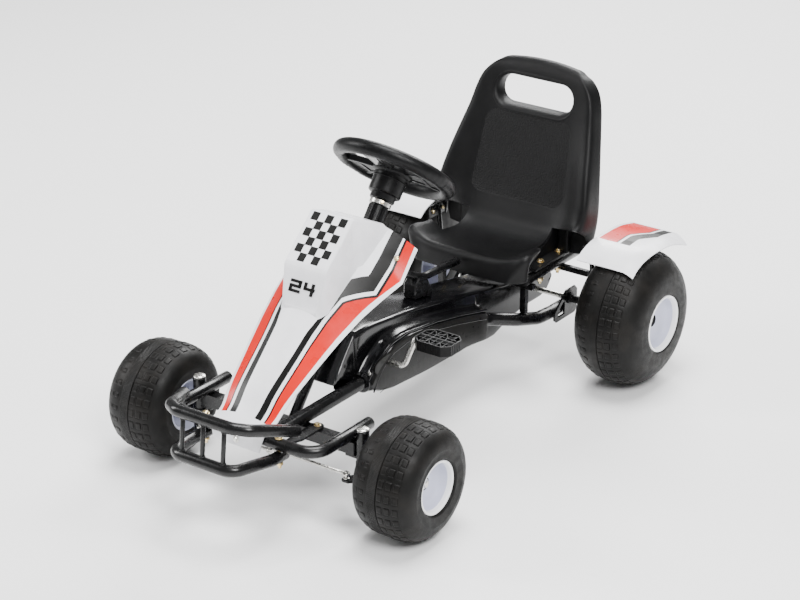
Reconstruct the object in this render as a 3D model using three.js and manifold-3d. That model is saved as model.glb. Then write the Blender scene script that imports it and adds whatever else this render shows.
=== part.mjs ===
// Pedal go kart: tubular frame, four fat tyres, enclosed chain drive, bucket seat and steered front axle.
// Millimetres, +Z up, floor at z = 0. Front of the kart faces -Y, the driver's left is +X.
import * as THREE from "three";
import { mergeVertices } from "three/addons/utils/BufferGeometryUtils.js";
import Module from "manifold-3d";

const wasm = await Module();
wasm.setup();

// ---------------------------------------------------------------- driving dimensions
const WHEELBASE = 710.6;
const GAP = 0.3;
const FRAME_SHIFT_Y = -308.7;

const FRONT = { x: 256.2, y: 0, radius: 100, half: 61, rim: 46.1, lip: 55.3, floor: 29.5 };
const REAR = { x: 246.8, y: WHEELBASE, radius: 127, half: 69.5, rim: 52.6, lip: 68.7, floor: 45 };
const WHEEL_SIDES = 28;
const AXLE_R = 5;

const FRAME_TUBE_R = 12;
const BAR_R = 10.5;
const MAIN_X = 50;
const MAIN_Z = 154;

const KINGPIN = { x: 170, y: -8.5, tubeR: 11, pinR: 6, low: 109.5, high: 165 };
const TIE_EYE = { x: 153, y: -31 };
const TIE_Z = { left: 90, right: 86 };

const COLUMN_TOP = new THREE.Vector3(0, 314.8, 475.9);
const COLUMN_TILT = THREE.MathUtils.degToRad(-39);
const COLUMN_R = 9;
const WHEEL_RING_R = 97.2;
const WHEEL_GRIP_R = 13.6;

const CRANK = { y: 208, z: 175.6, arm: 54, rodR: 5 };
const PEDAL = { inner: 112, outer: 186, deep: 58, thick: 19 };
const CHAIN_PITCH = 8;
const RING_TEETH = 36;
const SPROCKET_TEETH = 12;
const CASE = { wall: 3, half: 42, wide: 72 };

const RAIL = { x: 100, z: 202, r: 9.5, front: 581, back: 760 };
const SEAT_BOLT_Y = [631, 691];

// ---------------------------------------------------------------- materials
const blackPaint = { color: 0x17181a, roughness: 0.35, metalness: 0.2 };
const zinc = { color: 0xb9b8b2, roughness: 0.35, metalness: 0.9 };
const goldZinc = { color: 0xc2ab72, roughness: 0.35, metalness: 0.9 };
const rubber = { color: 0x1c1b1a, roughness: 0.9, metalness: 0 };
const whitePlastic = { color: 0xe9eaee, roughness: 0.3, metalness: 0 };
const blackPlastic = { color: 0x202124, roughness: 0.55, metalness: 0 };
const glossBlack = { color: 0x131416, roughness: 0.25, metalness: 0 };
const steel = { color: 0x6d6e70, roughness: 0.45, metalness: 0.9 };

// ---------------------------------------------------------------- geometry helpers
const vec = (x, y, z) => new THREE.Vector3(x, y, z);

// Radius of a many-sided bore that leaves a full circle of radius r clear.
const around = (r, sides) => r / Math.cos(Math.PI / sides);

function welded(geometry) {
  const plain = geometry.clone();
  plain.deleteAttribute("normal");
  plain.deleteAttribute("uv");
  const merged = mergeVertices(plain, 1e-3);
  const index = merged.index.array;
  const kept = [];
  for (let i = 0; i < index.length; i += 3) {
    const [a, b, c] = [index[i], index[i + 1], index[i + 2]];
    if (a !== b && b !== c && c !== a) {
      kept.push(a, b, c);
    }
  }
  return facing(merged.attributes.position.array, kept);
}

// Builds an indexed geometry and turns its faces outward when they point in.
function facing(positions, index) {
  let volume = 0;
  const p = [vec(0, 0, 0), vec(0, 0, 0), vec(0, 0, 0)];
  for (let i = 0; i < index.length; i += 3) {
    for (let k = 0; k < 3; k += 1) {
      p[k].fromArray(positions, index[i + k] * 3);
    }
    volume += p[0].dot(p[1].clone().cross(p[2]));
  }
  const turned = Array.from(index);
  if (volume < 0) {
    for (let i = 0; i < turned.length; i += 3) {
      [turned[i + 1], turned[i + 2]] = [turned[i + 2], turned[i + 1]];
    }
  }
  const geometry = new THREE.BufferGeometry();
  geometry.setAttribute("position", new THREE.BufferAttribute(Float32Array.from(positions), 3));
  geometry.setIndex(turned);
  geometry.computeVertexNormals();
  return geometry;
}

function solid(geometry) {
  const clean = welded(geometry);
  return new wasm.Manifold(new wasm.Mesh({
    numProp: 3,
    vertProperties: Float32Array.from(clean.attributes.position.array),
    triVerts: Uint32Array.from(clean.index.array),
  }));
}

function surface(body) {
  const mesh = body.getMesh();
  return facing(mesh.vertProperties, mesh.triVerts);
}

function joined(...geometries) {
  return surface(geometries.map(solid).reduce((a, b) => a.add(b)));
}

function cut(geometry, ...tools) {
  return surface(tools.map(solid).reduce((a, b) => a.subtract(b), solid(geometry)));
}

function mirrored(geometry) {
  const copy = geometry.clone();
  copy.scale(-1, 1, 1);
  return welded(copy);
}

function block(x0, x1, y0, y1, z0, z1) {
  const box = new THREE.BoxGeometry(x1 - x0, y1 - y0, z1 - z0);
  return box.translate((x0 + x1) / 2, (y0 + y1) / 2, (z0 + z1) / 2);
}

// A path through given corners, each rounded by a bend of the given radius.
function bent(corners, radius, pieces) {
  const points = corners.map((c) => vec(...c));
  const stations = [points[0]];
  for (let i = 1; i < points.length - 1; i += 1) {
    const before = points[i].clone().sub(points[i - 1]);
    const after = points[i + 1].clone().sub(points[i]);
    const room = 0.48 * Math.min(before.length(), after.length());
    before.normalize();
    after.normalize();
    const turn = before.angleTo(after);
    const reach = Math.min(radius * Math.tan(turn / 2), room);
    const used = reach / Math.tan(turn / 2);
    const side = after.clone().addScaledVector(before, -Math.cos(turn)).divideScalar(Math.sin(turn));
    const start = points[i].clone().addScaledVector(before, -reach);
    for (let k = 0; k <= pieces; k += 1) {
      const angle = (turn * k) / pieces;
      const along = used * Math.sin(angle);
      const over = used * (1 - Math.cos(angle));
      stations.push(start.clone().addScaledVector(before, along).addScaledVector(side, over));
    }
  }
  stations.push(points[points.length - 1]);
  return stations;
}

class Route extends THREE.Curve {
  constructor(stations) {
    super();
    this.stations = stations;
  }

  getPoint(t, target = vec(0, 0, 0)) {
    const place = t * (this.stations.length - 1);
    const i = Math.min(Math.floor(place + 1e-6), this.stations.length - 2);
    return target.copy(this.stations[i]).lerp(this.stations[i + 1], place - i);
  }

  getPointAt(t, target) {
    return this.getPoint(t, target);
  }

  getTangentAt(t, target = vec(0, 0, 0)) {
    const i = Math.round(t * (this.stations.length - 1));
    const last = this.stations.length - 1;
    target.set(0, 0, 0);
    if (i > 0) {
      target.add(this.stations[i].clone().sub(this.stations[i - 1]).normalize());
    }
    if (i < last) {
      target.add(this.stations[i + 1].clone().sub(this.stations[i]).normalize());
    }
    return target.normalize();
  }
}

function swept(stations, radius, sides = 12) {
  const circle = new THREE.Shape().absarc(0, 0, radius, 0, Math.PI * 2, false);
  return new THREE.ExtrudeGeometry(circle, {
    steps: stations.length - 1,
    curveSegments: sides / 2,
    extrudePath: new Route(stations),
    bevelEnabled: false,
  });
}

function rod(from, to, radius, sides = 12) {
  return swept([vec(...from), vec(...to)], radius, sides);
}

function tube(corners, radius, bendRadius, sides = 12, pieces = 3) {
  return swept(bent(corners, bendRadius, pieces), radius, sides);
}

function outline(points) {
  return new THREE.Shape(points.map(([a, b]) => new THREE.Vector2(a, b)));
}

// Plate standing across the kart: outline in (y, z), thickness along X.
function plateX(points, x0, x1) {
  const plate = new THREE.ExtrudeGeometry(outline(points), { depth: x1 - x0, bevelEnabled: false });
  plate.applyMatrix4(new THREE.Matrix4().makeBasis(vec(0, 1, 0), vec(0, 0, 1), vec(1, 0, 0)));
  return plate.translate(x0, 0, 0);
}

// Plate lying flat: outline in (x, y), thickness along Z.
function plateZ(points, z0, z1) {
  const plate = new THREE.ExtrudeGeometry(outline(points), { depth: z1 - z0, bevelEnabled: false });
  return plate.translate(0, 0, z0);
}

function circlePoints(cx, cy, r, sides, from = 0, to = Math.PI * 2) {
  const points = [];
  const full = Math.abs(to - from) > 6.28;
  const count = full ? sides : sides + 1;
  for (let i = 0; i < count; i += 1) {
    const a = from + ((to - from) * i) / sides;
    points.push([cx + r * Math.cos(a), cy + r * Math.sin(a)]);
  }
  return points;
}

// Moves every edge of a closed outline inward by a distance.
function inset(points, distance) {
  const area = points.reduce((sum, [a, b], i) => {
    const [c, d] = points[(i + 1) % points.length];
    return sum + (a * d - c * b);
  }, 0);
  const sign = area > 0 ? 1 : -1;
  const edges = points.map(([a, b], i) => {
    const [c, d] = points[(i + 1) % points.length];
    const length = Math.hypot(c - a, d - b);
    const n = [(-(d - b) / length) * sign, ((c - a) / length) * sign];
    return { p: [a + n[0] * distance, b + n[1] * distance], d: [c - a, d - b] };
  });
  return edges.map((edge, i) => {
    const last = edges[(i + edges.length - 1) % edges.length];
    const cross = last.d[0] * edge.d[1] - last.d[1] * edge.d[0];
    if (Math.abs(cross) < 1e-9) {
      return edge.p;
    }
    const t = ((edge.p[0] - last.p[0]) * edge.d[1] - (edge.p[1] - last.p[1]) * edge.d[0]) / cross;
    return [last.p[0] + last.d[0] * t, last.p[1] + last.d[1] * t];
  });
}

// Ring turned about the X axis from a closed (radius, x) section, a flat of the polygon straight down.
function turnedX(section, sides, cx, cy, cz) {
  const loop = [...section, section[0]].map(([r, x]) => new THREE.Vector2(r, x));
  const lathe = new THREE.LatheGeometry(loop, sides, Math.PI / sides, Math.PI * 2);
  lathe.applyMatrix4(new THREE.Matrix4().makeBasis(vec(0, -1, 0), vec(1, 0, 0), vec(0, 0, 1)));
  return welded(lathe.translate(cx, cy, cz));
}

// Thick sheet under a grid of points; the second surface lies one thickness behind the first.
function sheet(rows, thickness) {
  const height = rows.length;
  const width = rows[0].length;
  const at = (i, j) => rows[Math.min(Math.max(i, 0), height - 1)][Math.min(Math.max(j, 0), width - 1)];
  const positions = [];
  const back = [];
  for (let i = 0; i < height; i += 1) {
    for (let j = 0; j < width; j += 1) {
      const normal = vec(0, 0, 0);
      for (const [di, dj] of [[0, 0], [0, -1], [-1, 0], [-1, -1]]) {
        const [a, b] = [i + di, j + dj];
        if (a >= 0 && b >= 0 && a < height - 1 && b < width - 1) {
          const across = at(a, b + 1).clone().sub(at(a, b)).add(at(a + 1, b + 1)).sub(at(a + 1, b));
          const along = at(a + 1, b).clone().sub(at(a, b)).add(at(a + 1, b + 1)).sub(at(a, b + 1));
          normal.add(across.cross(along).normalize());
        }
      }
      normal.normalize();
      positions.push(...at(i, j).toArray());
      back.push(...at(i, j).clone().addScaledVector(normal, -thickness).toArray());
    }
  }
  const count = height * width;
  const index = [];
  const quad = (a, b, c, d) => index.push(a, b, c, a, c, d);
  const id = (i, j) => i * width + j;
  for (let i = 0; i < height - 1; i += 1) {
    for (let j = 0; j < width - 1; j += 1) {
      quad(id(i, j), id(i, j + 1), id(i + 1, j + 1), id(i + 1, j));
      quad(count + id(i, j), count + id(i + 1, j), count + id(i + 1, j + 1), count + id(i, j + 1));
    }
    const right = width - 1;
    quad(id(i, 0), id(i + 1, 0), count + id(i + 1, 0), count + id(i, 0));
    quad(id(i + 1, right), id(i, right), count + id(i, right), count + id(i + 1, right));
  }
  for (let j = 0; j < width - 1; j += 1) {
    const top = height - 1;
    quad(id(0, j + 1), id(0, j), count + id(0, j), count + id(0, j + 1));
    quad(id(top, j), id(top, j + 1), count + id(top, j + 1), count + id(top, j));
  }
  return facing([...positions, ...back], index);
}

// Completes half rows (x from 0 outward) into rows running from -x to +x.
function fullRow(half) {
  const left = half.slice(1).reverse().map((p) => vec(-p.x, p.y, p.z));
  return [...left, ...half];
}

const kart = new THREE.Group();
kart.name = "pedal_go_kart";
kart.position.y = FRAME_SHIFT_Y;

function add(name, geometry, look) {
  const mesh = new THREE.Mesh(geometry, new THREE.MeshStandardMaterial(look));
  mesh.name = name;
  kart.add(mesh);
}

function addPair(name, leftGeometry, look) {
  add(`${name}_left`, leftGeometry, look);
  add(`${name}_right`, mirrored(leftGeometry), look);
}

// ---------------------------------------------------------------- frame
const mainPath = [
  [MAIN_X, -96, MAIN_Z], [MAIN_X, 440, MAIN_Z], [57, 525, 136], [86, 582, 122],
  [98.5, 630, 111], [100, 674, 108], [100, 745, 108],
];
addPair("main_tube", welded(tube(mainPath, FRAME_TUBE_R, 60, 14, 2)), blackPaint);

const barZ = 152.5;
const barCorners = [[-148, 41, barZ], [-148, -107, barZ], [148, -107, barZ], [148, 41, barZ]];
const tabEnd = circlePoints(77, -7, 11, 6, Math.PI, 0).map(([x, y]) => [x, -7 + Math.abs(y + 7)]);
const tabOutline = [[66, -107], [66, -7], ...tabEnd, [88, -107]];
const tab = (s) => plateZ(tabOutline.map(([x, y]) => [s * x, y]), 141.8, 145.8);
const barHole = (x) => rod([x, -107, 100], [x, -107, 175], around(3.4, 12));
const frontBar = joined(tube(barCorners, BAR_R, 34, 14, 4), tab(1), tab(-1));
add("front_bar", cut(frontBar, barHole(76), barHole(-76)), blackPaint);

const kingSpot = (s, z) => [s * KINGPIN.x, KINGPIN.y, z];
const kingRod = (s, low, high, r) => rod(kingSpot(s, low), kingSpot(s, high), r, 16);
const kingTube = (s) => kingRod(s, KINGPIN.low, KINGPIN.high, KINGPIN.tubeR);
const kingBore = (s) => kingRod(s, 100, 180, around(KINGPIN.pinR + 0.4, 16));
const beam = joined(block(-162, 162, -18.5, 1.5, 119.5, 141.5), kingTube(1), kingTube(-1));
add("axle_beam", cut(beam, kingBore(1), kingBore(-1)), blackPaint);

const upperHoop = [
  [-118, -110, 190], [-80, -188, 210.5], [-56, -202, 213],
  [56, -202, 213], [80, -188, 210.5], [118, -110, 190],
];
const lowerHoop = [
  [-76, -92, 130.6], [-76, -124, 131], [-71, -162, 136], [-60, -209, 139],
  [60, -209, 139], [71, -162, 136], [76, -124, 131], [76, -92, 130.6],
];
const hoopRod = (x) => rod([x, -202, 212], [x, -209, 140], 4, 8);
const hoopRods = [-42, 0, 42].map(hoopRod);
const bumper = joined(tube(upperHoop, BAR_R, 24, 12, 2), tube(lowerHoop, BAR_R, 24, 12, 2), ...hoopRods);
add("front_bumper", cut(bumper, barHole(76), barHole(-76)), blackPaint);

const bumperBolt = joined(
  rod([76, -107, 110], [76, -107, 166], 3, 10),
  rod([76, -107, 163.5], [76, -107, 168], 7, 12),
  rod([76, -107, 113], [76, -107, 119.6], 6, 6),
);
addPair("bumper_bolt", bumperBolt, goldZinc);

// ---------------------------------------------------------------- chain case and drive
const spine = [
  [90, 168], [150, 243], [200, 242], [318, 228], [450, 203], [615, 172], [733, 168], [757, 158], [766, 135],
  [757, 112], [735, 102], [679, 102], [622, 94], [574, 80], [550, 80], [450, 93], [350, 95], [250, 100],
  [190, 118], [150, 135],
];
const flank = [
  [147, 146], [150, 160], [180, 190], [215, 210], [260, 214], [350, 202], [430, 186], [510, 165],
  [510, 103], [455, 112], [408, 113], [314, 115], [217, 122], [162, 133],
];
const wall = CASE.wall;
const tubeRoom = (x, y, z) => solid(block(x, 60, 60, y, 100, z)).add(solid(block(-60, -x, 60, y, 100, z)));
const spineOuter = solid(plateX(spine, -CASE.half, CASE.half)).subtract(tubeRoom(37.5, 150, 172));
const spineInner = solid(plateX(inset(spine, wall), -CASE.half + wall, CASE.half - wall))
  .subtract(tubeRoom(34.5, 152, 175));
const flankOuter = solid(plateX(flank, -CASE.wide, CASE.wide));
const flankInner = solid(plateX(inset(flank, wall), -CASE.wide + wall, CASE.wide - wall));
const caseShell = spineOuter.add(flankOuter).subtract(spineInner.add(flankInner));
const tubeSlot = solid(tube(mainPath, FRAME_TUBE_R + 0.6, 60, 14, 2));
const crankHole = solid(rod([0, CRANK.y, CRANK.z], [90, CRANK.y, CRANK.z], 10, 16));
const axleHole = solid(rod([0, REAR.y, REAR.radius], [60, REAR.y, REAR.radius], 7.5, 12));
const leftHalf = caseShell.intersect(solid(block(0.2, 100, 0, 900, 0, 300)))
  .subtract(tubeSlot).subtract(crankHole).subtract(axleHole);
addPair("chain_case", surface(leftHalf), glossBlack);

const ringR = (CHAIN_PITCH * RING_TEETH) / (2 * Math.PI);
const sprocketR = (CHAIN_PITCH * SPROCKET_TEETH) / (2 * Math.PI);

// Toothed wheel in the (y, z) plane with a bore.
function toothed(cy, cz, pitchR, teeth, half, boreR) {
  const points = [];
  for (let i = 0; i < teeth; i += 1) {
    const step = (Math.PI * 2) / teeth;
    const [root, tip] = [pitchR - 1.8, pitchR + 1.9];
    for (const [part, r] of [[-0.28, root], [-0.1, tip], [0.1, tip], [0.28, root]]) {
      const a = (i + part) * step;
      points.push([cy + r * Math.cos(a), cz + r * Math.sin(a)]);
    }
  }
  const bore = rod([-10, cy, cz], [10, cy, cz], around(boreR, 16), 16);
  return cut(plateX(points, -half, half), bore);
}
const lightening = [0, 1, 2, 3, 4].map((i) => {
  const a = (i * Math.PI * 2) / 5 + 0.3;
  const at = [CRANK.y + 27 * Math.cos(a), CRANK.z + 27 * Math.sin(a)];
  return rod([-5, ...at], [5, ...at], 9, 10);
});
const ringDisc = toothed(CRANK.y, CRANK.z, ringR, RING_TEETH, 1.5, CRANK.rodR + GAP);
add("chainring", cut(ringDisc, ...lightening), steel);
add("sprocket", toothed(REAR.y, REAR.radius, sprocketR, SPROCKET_TEETH, 1.5, AXLE_R + GAP), steel);

// Belt line around both wheels at a given distance outside each.
function beltLine(ringOut, sprocketOut, sides) {
  const [dy, dz] = [REAR.y - CRANK.y, REAR.radius - CRANK.z];
  const lean = Math.atan2(dz, dy);
  const spread = Math.acos((ringOut - sprocketOut) / Math.hypot(dy, dz));
  return [
    ...circlePoints(CRANK.y, CRANK.z, ringOut, sides, lean + spread, lean + Math.PI * 2 - spread),
    ...circlePoints(REAR.y, REAR.radius, sprocketOut, sides / 2, lean - spread, lean + spread),
  ];
}
const loopOuter = plateX(beltLine(52.3, 21.8, 24), -2.5, 2.5);
const loopInner = plateX(beltLine(48.9, 18.3, 24), -6, 6);
add("chain", cut(loopOuter, loopInner), steel);

const bush = cut(
  block(40, 60, 198, 218, MAIN_Z + FRAME_TUBE_R + GAP, 186.5),
  rod([30, CRANK.y, CRANK.z], [70, CRANK.y, CRANK.z], around(CRANK.rodR + GAP, 12)),
);
addPair("crank_bush", bush, blackPlastic);

const crankPath = [
  [-184, 181, 129.2], [-104, 181, 129.2], [-98, CRANK.y, CRANK.z],
  [98, CRANK.y, CRANK.z], [104, 235, 222], [184, 235, 222],
];
add("crank", welded(tube(crankPath, CRANK.rodR, 10, 12, 3)), zinc);

// Pedal: level block with a bore for its spindle and open windows between cross ribs.
function pedal(side, cy, cz) {
  const [x0, x1] = side > 0 ? [PEDAL.inner, PEDAL.outer] : [-PEDAL.outer, -PEDAL.inner];
  const [h, t] = [PEDAL.deep / 2, PEDAL.thick / 2];
  const body = plateX([
    [cy - h, cz - t + 5], [cy - h + 4, cz - t], [cy + h - 4, cz - t], [cy + h, cz - t + 5],
    [cy + h, cz + t - 5], [cy + h - 4, cz + t], [cy - h + 4, cz + t], [cy - h, cz + t - 5],
  ], x0, x1);
  const pitch = (x1 - x0 - 4) / 4;
  const windows = [0, 1, 2, 3].flatMap((i) => [-1, 1].map((s) => {
    const start = x0 + 4 + i * pitch;
    const [ya, yb] = s > 0 ? [cy + 9, cy + h - 4] : [cy - h + 4, cy - 9];
    return block(start, start + pitch - 4, ya, yb, cz - 20, cz + 20);
  }));
  const spindle = rod([x0 - 5, cy, cz], [x1 + 5, cy, cz], around(CRANK.rodR + 0.4, 12));
  return cut(body, ...windows, spindle);
}
add("pedal_left", pedal(1, 235, 222), blackPlastic);
add("pedal_right", pedal(-1, 181, 129.2), blackPlastic);

// ---------------------------------------------------------------- wheels
function tyreSection(w, fullness) {
  const outer = [];
  for (const degrees of [80, 64, 47, 30]) {
    const a = THREE.MathUtils.degToRad(degrees);
    const x = w.half * Math.sin(a) ** (2 / fullness);
    const r = w.radius * (0.5 + 0.5 * Math.cos(a) ** (2 / fullness));
    outer.push([r, x]);
  }
  outer.push([w.radius, 12]);
  const beadX = Math.min(w.lip + 3.5, w.half - 1);
  const bead = [[w.rim + GAP, w.lip - 10], [w.rim + GAP, w.lip - 0.5], [w.rim + 5, beadX]];
  const side = [...bead, ...outer];
  const inner = [[w.radius * 0.86, w.half * 0.45], [w.radius * 0.68, w.half * 0.8]];
  const far = [...side].reverse().map(([r, x]) => [r, -x]);
  return [...side, ...far, [inner[1][0], -inner[1][1]], [inner[0][0], -inner[0][1]], inner[0], inner[1]];
}
const flats = 1 / Math.cos(Math.PI / WHEEL_SIDES);
const widened = (section) => section.map(([r, x]) => [r * flats, x]);

function rimSection(w, hubInner) {
  const wallIn = w.rim - 3.4;
  const bore = around(AXLE_R + 0.5, WHEEL_SIDES);
  return [
    [bore, -hubInner], [12, -hubInner], [14, w.floor - 4], [wallIn - 9, w.floor - 4],
    [wallIn, w.floor - 9], [wallIn, -w.lip + 2], [w.rim, -w.lip], [w.rim, w.lip - 2],
    [w.rim - 1.5, w.lip], [w.rim - 4.5, w.lip - 1],
    [w.rim - 6.5, w.lip - 8], [wallIn - 9, w.floor + 2], [15, w.floor], [bore, w.floor],
  ];
}
const place = (section, w) => turnedX(section, WHEEL_SIDES, w.x, w.y, w.radius);
addPair("front_tyre", place(widened(tyreSection(FRONT, 3)), FRONT), rubber);
addPair("front_rim", place(rimSection(FRONT, 29.5), FRONT), whitePlastic);
addPair("rear_tyre", place(widened(tyreSection(REAR, 2.3)), REAR), rubber);
addPair("rear_rim", place(rimSection(REAR, 68), REAR), whitePlastic);

add("rear_axle", welded(rod([-286, REAR.y, REAR.radius], [286, REAR.y, REAR.radius], AXLE_R, 12)), zinc);
const ringAbout = (x0, x1, r, boreR) => cut(
  rod([x0, REAR.y, REAR.radius], [x1, REAR.y, REAR.radius], r, 16),
  rod([x0 - 5, REAR.y, REAR.radius], [x1 + 5, REAR.y, REAR.radius], around(boreR, 16), 16),
);
addPair("axle_spacer", ringAbout(124.2, 178.2, 7.2, AXLE_R + GAP), blackPlastic);
addPair("axle_bush", ringAbout(112.7, 123.8, 7.8, AXLE_R + GAP), blackPlastic);

const plateOutline = [
  [660, 98], [667, 92], [730, 92], [737, 99], [737, 138], [729, 146], [699, 146], [660, 112],
];
const axlePlate = cut(
  plateX(plateOutline, 112.4, 116.4),
  rod([100, REAR.y, REAR.radius], [130, REAR.y, REAR.radius], around(8.2, 16), 16),
  plateX([[672, 101], [694, 101], [694, 126], [688, 126], [672, 112]], 100, 130),
);
addPair("axle_plate", axlePlate, blackPaint);

// ---------------------------------------------------------------- front knuckles and tie rods
const knuckle = joined(
  rod([KINGPIN.x, KINGPIN.y, 76], [KINGPIN.x, KINGPIN.y, 109], 12, 16),
  rod([KINGPIN.x, KINGPIN.y, 108], [KINGPIN.x, KINGPIN.y, 166], KINGPIN.pinR, 12),
  rod([KINGPIN.x, KINGPIN.y, 165.4], [KINGPIN.x, KINGPIN.y, 168], 10.75, 16),
  rod([KINGPIN.x, KINGPIN.y, 167], [KINGPIN.x, KINGPIN.y, 169.5], 8, 16),
  rod([KINGPIN.x + 3, 0, 100], [FRONT.x - 31, 0, 100], 7.5, 12),
  rod([KINGPIN.x + 3, 0, 100], [FRONT.x + 31, 0, 100], AXLE_R, 12),
  rod([FRONT.x + FRONT.floor + 0.6, 0, 100], [FRONT.x + 35.5, 0, 100], 8.5, 6),
  plateZ([[162, -1], [146, -27], [146, -35], [160, -37], [181, -14]], 76, 82),
  rod([TIE_EYE.x, TIE_EYE.y, 78], [TIE_EYE.x, TIE_EYE.y, 95], 2.5, 8),
);
addPair("knuckle", knuckle, steel);

// Steel rod between the column arm (x = 0) and the knuckle arm, one flat eye at each end.
function tieRod(side, z) {
  const eye = (x, r, boreR) => [
    rod([x, TIE_EYE.y, z - 1.8], [x, TIE_EYE.y, z + 1.8], r, 14),
    rod([x, TIE_EYE.y, z - 5], [x, TIE_EYE.y, z + 5], boreR, 12),
  ];
  const [inner, innerBore] = eye(0, 9.2, around(6.4, 12));
  const [outer, outerBore] = eye(side * TIE_EYE.x, 6.5, around(3.1, 12));
  const tabX = side > 0 ? [6, 16] : [-16, -6];
  const bar = rod([side * 12, TIE_EYE.y, z], [side * (TIE_EYE.x - 5), TIE_EYE.y, z], 3, 8);
  const flat = block(tabX[0], tabX[1], TIE_EYE.y - 4, TIE_EYE.y + 4, z - 1.8, z + 1.8);
  return cut(joined(inner, outer, bar, flat), innerBore, outerBore);
}
add("tie_rod_left", tieRod(1, TIE_Z.left), steel);
add("tie_rod_right", tieRod(-1, TIE_Z.right), steel);

// ---------------------------------------------------------------- steering column and wheel
// Column parts are drawn around the origin with +z along the column, then set in place.
function onColumn(geometry) {
  geometry.rotateX(COLUMN_TILT);
  return geometry.translate(COLUMN_TOP.x, COLUMN_TOP.y, COLUMN_TOP.z);
}
const lengthOf = (t0, t1, r, sides = 16) => rod([0, 0, -t1], [0, 0, -t0], r, sides);
const sleeveOf = (t0, t1, r, boreR) => onColumn(
  cut(lengthOf(t0, t1, r), lengthOf(t0 - 5, t1 + 5, around(boreR, 16))),
);

const columnTube = onColumn(welded(lengthOf(14, 484, COLUMN_R)));
const pitman = tube([[0, 17, 108.5], [0, -20, 101.5], [0, -33.5, 101.5]], 4.5, 20, 10, 2);
const stud = rod([0, TIE_EYE.y, 79], [0, TIE_EYE.y, 101], 2, 8);
const studNut = rod([0, TIE_EYE.y, 78.5], [0, TIE_EYE.y, 81.5], 6, 6);
add("steering_column", joined(columnTube, pitman, stud, studNut), steel);
add("column_sleeve", sleeveOf(69, 150, 17.5, COLUMN_R + GAP), blackPlastic);

const collar = cut(
  joined(lengthOf(60.3, 68, 19.5, 20), rod([0, -17, -64], [0, -23, -64], 3.2, 8)),
  lengthOf(50, 80, around(COLUMN_R + GAP, 16)),
);
collar.rotateZ(THREE.MathUtils.degToRad(40));
add("column_collar", onColumn(collar), goldZinc);

function wheelRing() {
  const section = circlePoints(WHEEL_RING_R, 0, WHEEL_GRIP_R, 10).map(([a, b]) => new THREE.Vector2(a, b));
  const ring = new THREE.LatheGeometry([...section, section[0]], 36);
  return ring.rotateX(Math.PI / 2);
}
const sideSpoke = (s) => plateZ([
  [s * 18, -14], [s * 60, -20], [s * 97, -18], [s * 93, 18], [s * 80, 48], [s * 62, 30], [s * 22, 20],
], -9, 4);
const topSpoke = plateZ([[-20, 0], [-17, -60], [-22, -94], [22, -94], [17, -60], [20, 0]], -9, 4);
const wheelBody = joined(
  wheelRing(), sideSpoke(1), sideSpoke(-1), topSpoke,
  lengthOf(-6, 12, 36, 20), lengthOf(8, 48, 29, 20), lengthOf(46, 58.5, 22, 20),
);
add("steering_wheel", onColumn(cut(wheelBody, lengthOf(13, 70, around(COLUMN_R + GAP, 16)))), blackPlastic);

const supportRing = onColumn(lengthOf(160, 182, 15));
const supportBore = onColumn(lengthOf(150, 190, around(COLUMN_R + 0.4, 16)));
const supportStrut = tube([[0, 222, 336], [0, 400, 247], [0, 512, 240]], 7, 60, 12, 3);
const footOutline = [[362, 220.8], [416, 210.6], [416, 222], [402, 246], [376, 258], [362, 246]];
const supportFoot = plateX(footOutline, -13, 13);
add("column_support", cut(joined(supportRing, supportStrut, supportFoot), supportBore), blackPaint);

// ---------------------------------------------------------------- nose fairing
// Each row: centre [y, z], flat half-width, body height on the centre line, edge [x, y, z].
const FAIRING = [
  { top: [-123, 134], flat: 18, body: 134, edge: [47, -123, 134] },
  { top: [-122, 150], flat: 20, body: 150, edge: [51, -122, 150] },
  { top: [-120.5, 165], flat: 22, body: 165, edge: [55, -119.5, 164] },
  { top: [-90, 187], flat: 24, body: 187, edge: [57, -89, 175] },
  { top: [-60, 218], flat: 26, body: 218, edge: [62.5, -61, 203] },
  { top: [0, 268], flat: 30, body: 268, edge: [73.9, 0, 245] },
  { top: [50, 313], flat: 32, body: 313, edge: [83.3, 50, 277] },
  { top: [65, 383], flat: 42, body: 324, edge: [86, 65, 286] },
  { top: [100, 415], flat: 43, body: 345, edge: [92.9, 100, 304.5] },
  { top: [140, 451], flat: 45, body: 370, edge: [100.4, 140, 320.7] },
  { top: [185, 434], flat: 46, body: 395, edge: [109, 186, 337] },
  { top: [228, 415], flat: 47, body: 415, edge: [110, 228, 385] },
];
function fairingRow({ top, flat, body, edge }) {
  const crown = (x) => edge[2] + (body - edge[2]) * (1 - (x / edge[0]) ** 2);
  const raised = top[1] - body;
  const topAt = (x) => (raised > 1 ? top[1] : crown(x));
  const shoulder = flat + 8;
  const mid = (shoulder + edge[0]) / 2;
  return fullRow([
    vec(0, top[0], topAt(0)), vec(flat * 0.6, top[0], topAt(flat * 0.6)), vec(flat, top[0], topAt(flat)),
    vec(shoulder, top[0], crown(shoulder)), vec(mid, (top[0] + edge[1]) / 2, crown(mid)), vec(...edge),
  ]);
}
add("fairing", sheet(FAIRING.map(fairingRow), 2.6), whitePlastic);
const noseWasher = rod([0, -125.4, 146], [0, -122.9, 146], 6.5, 12);
const noseHead = rod([0, -127.4, 146], [0, -124.4, 146], 4, 6);
add("nose_bolt", joined(noseWasher, noseHead), zinc);
const screwAt = (lift) => [88 + 0.31 * lift, 200 - 0.6 * lift, 372.5 + 0.74 * lift];
addPair("fairing_screw", welded(rod(screwAt(1.6), screwAt(4), 5, 10)), goldZinc);

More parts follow.
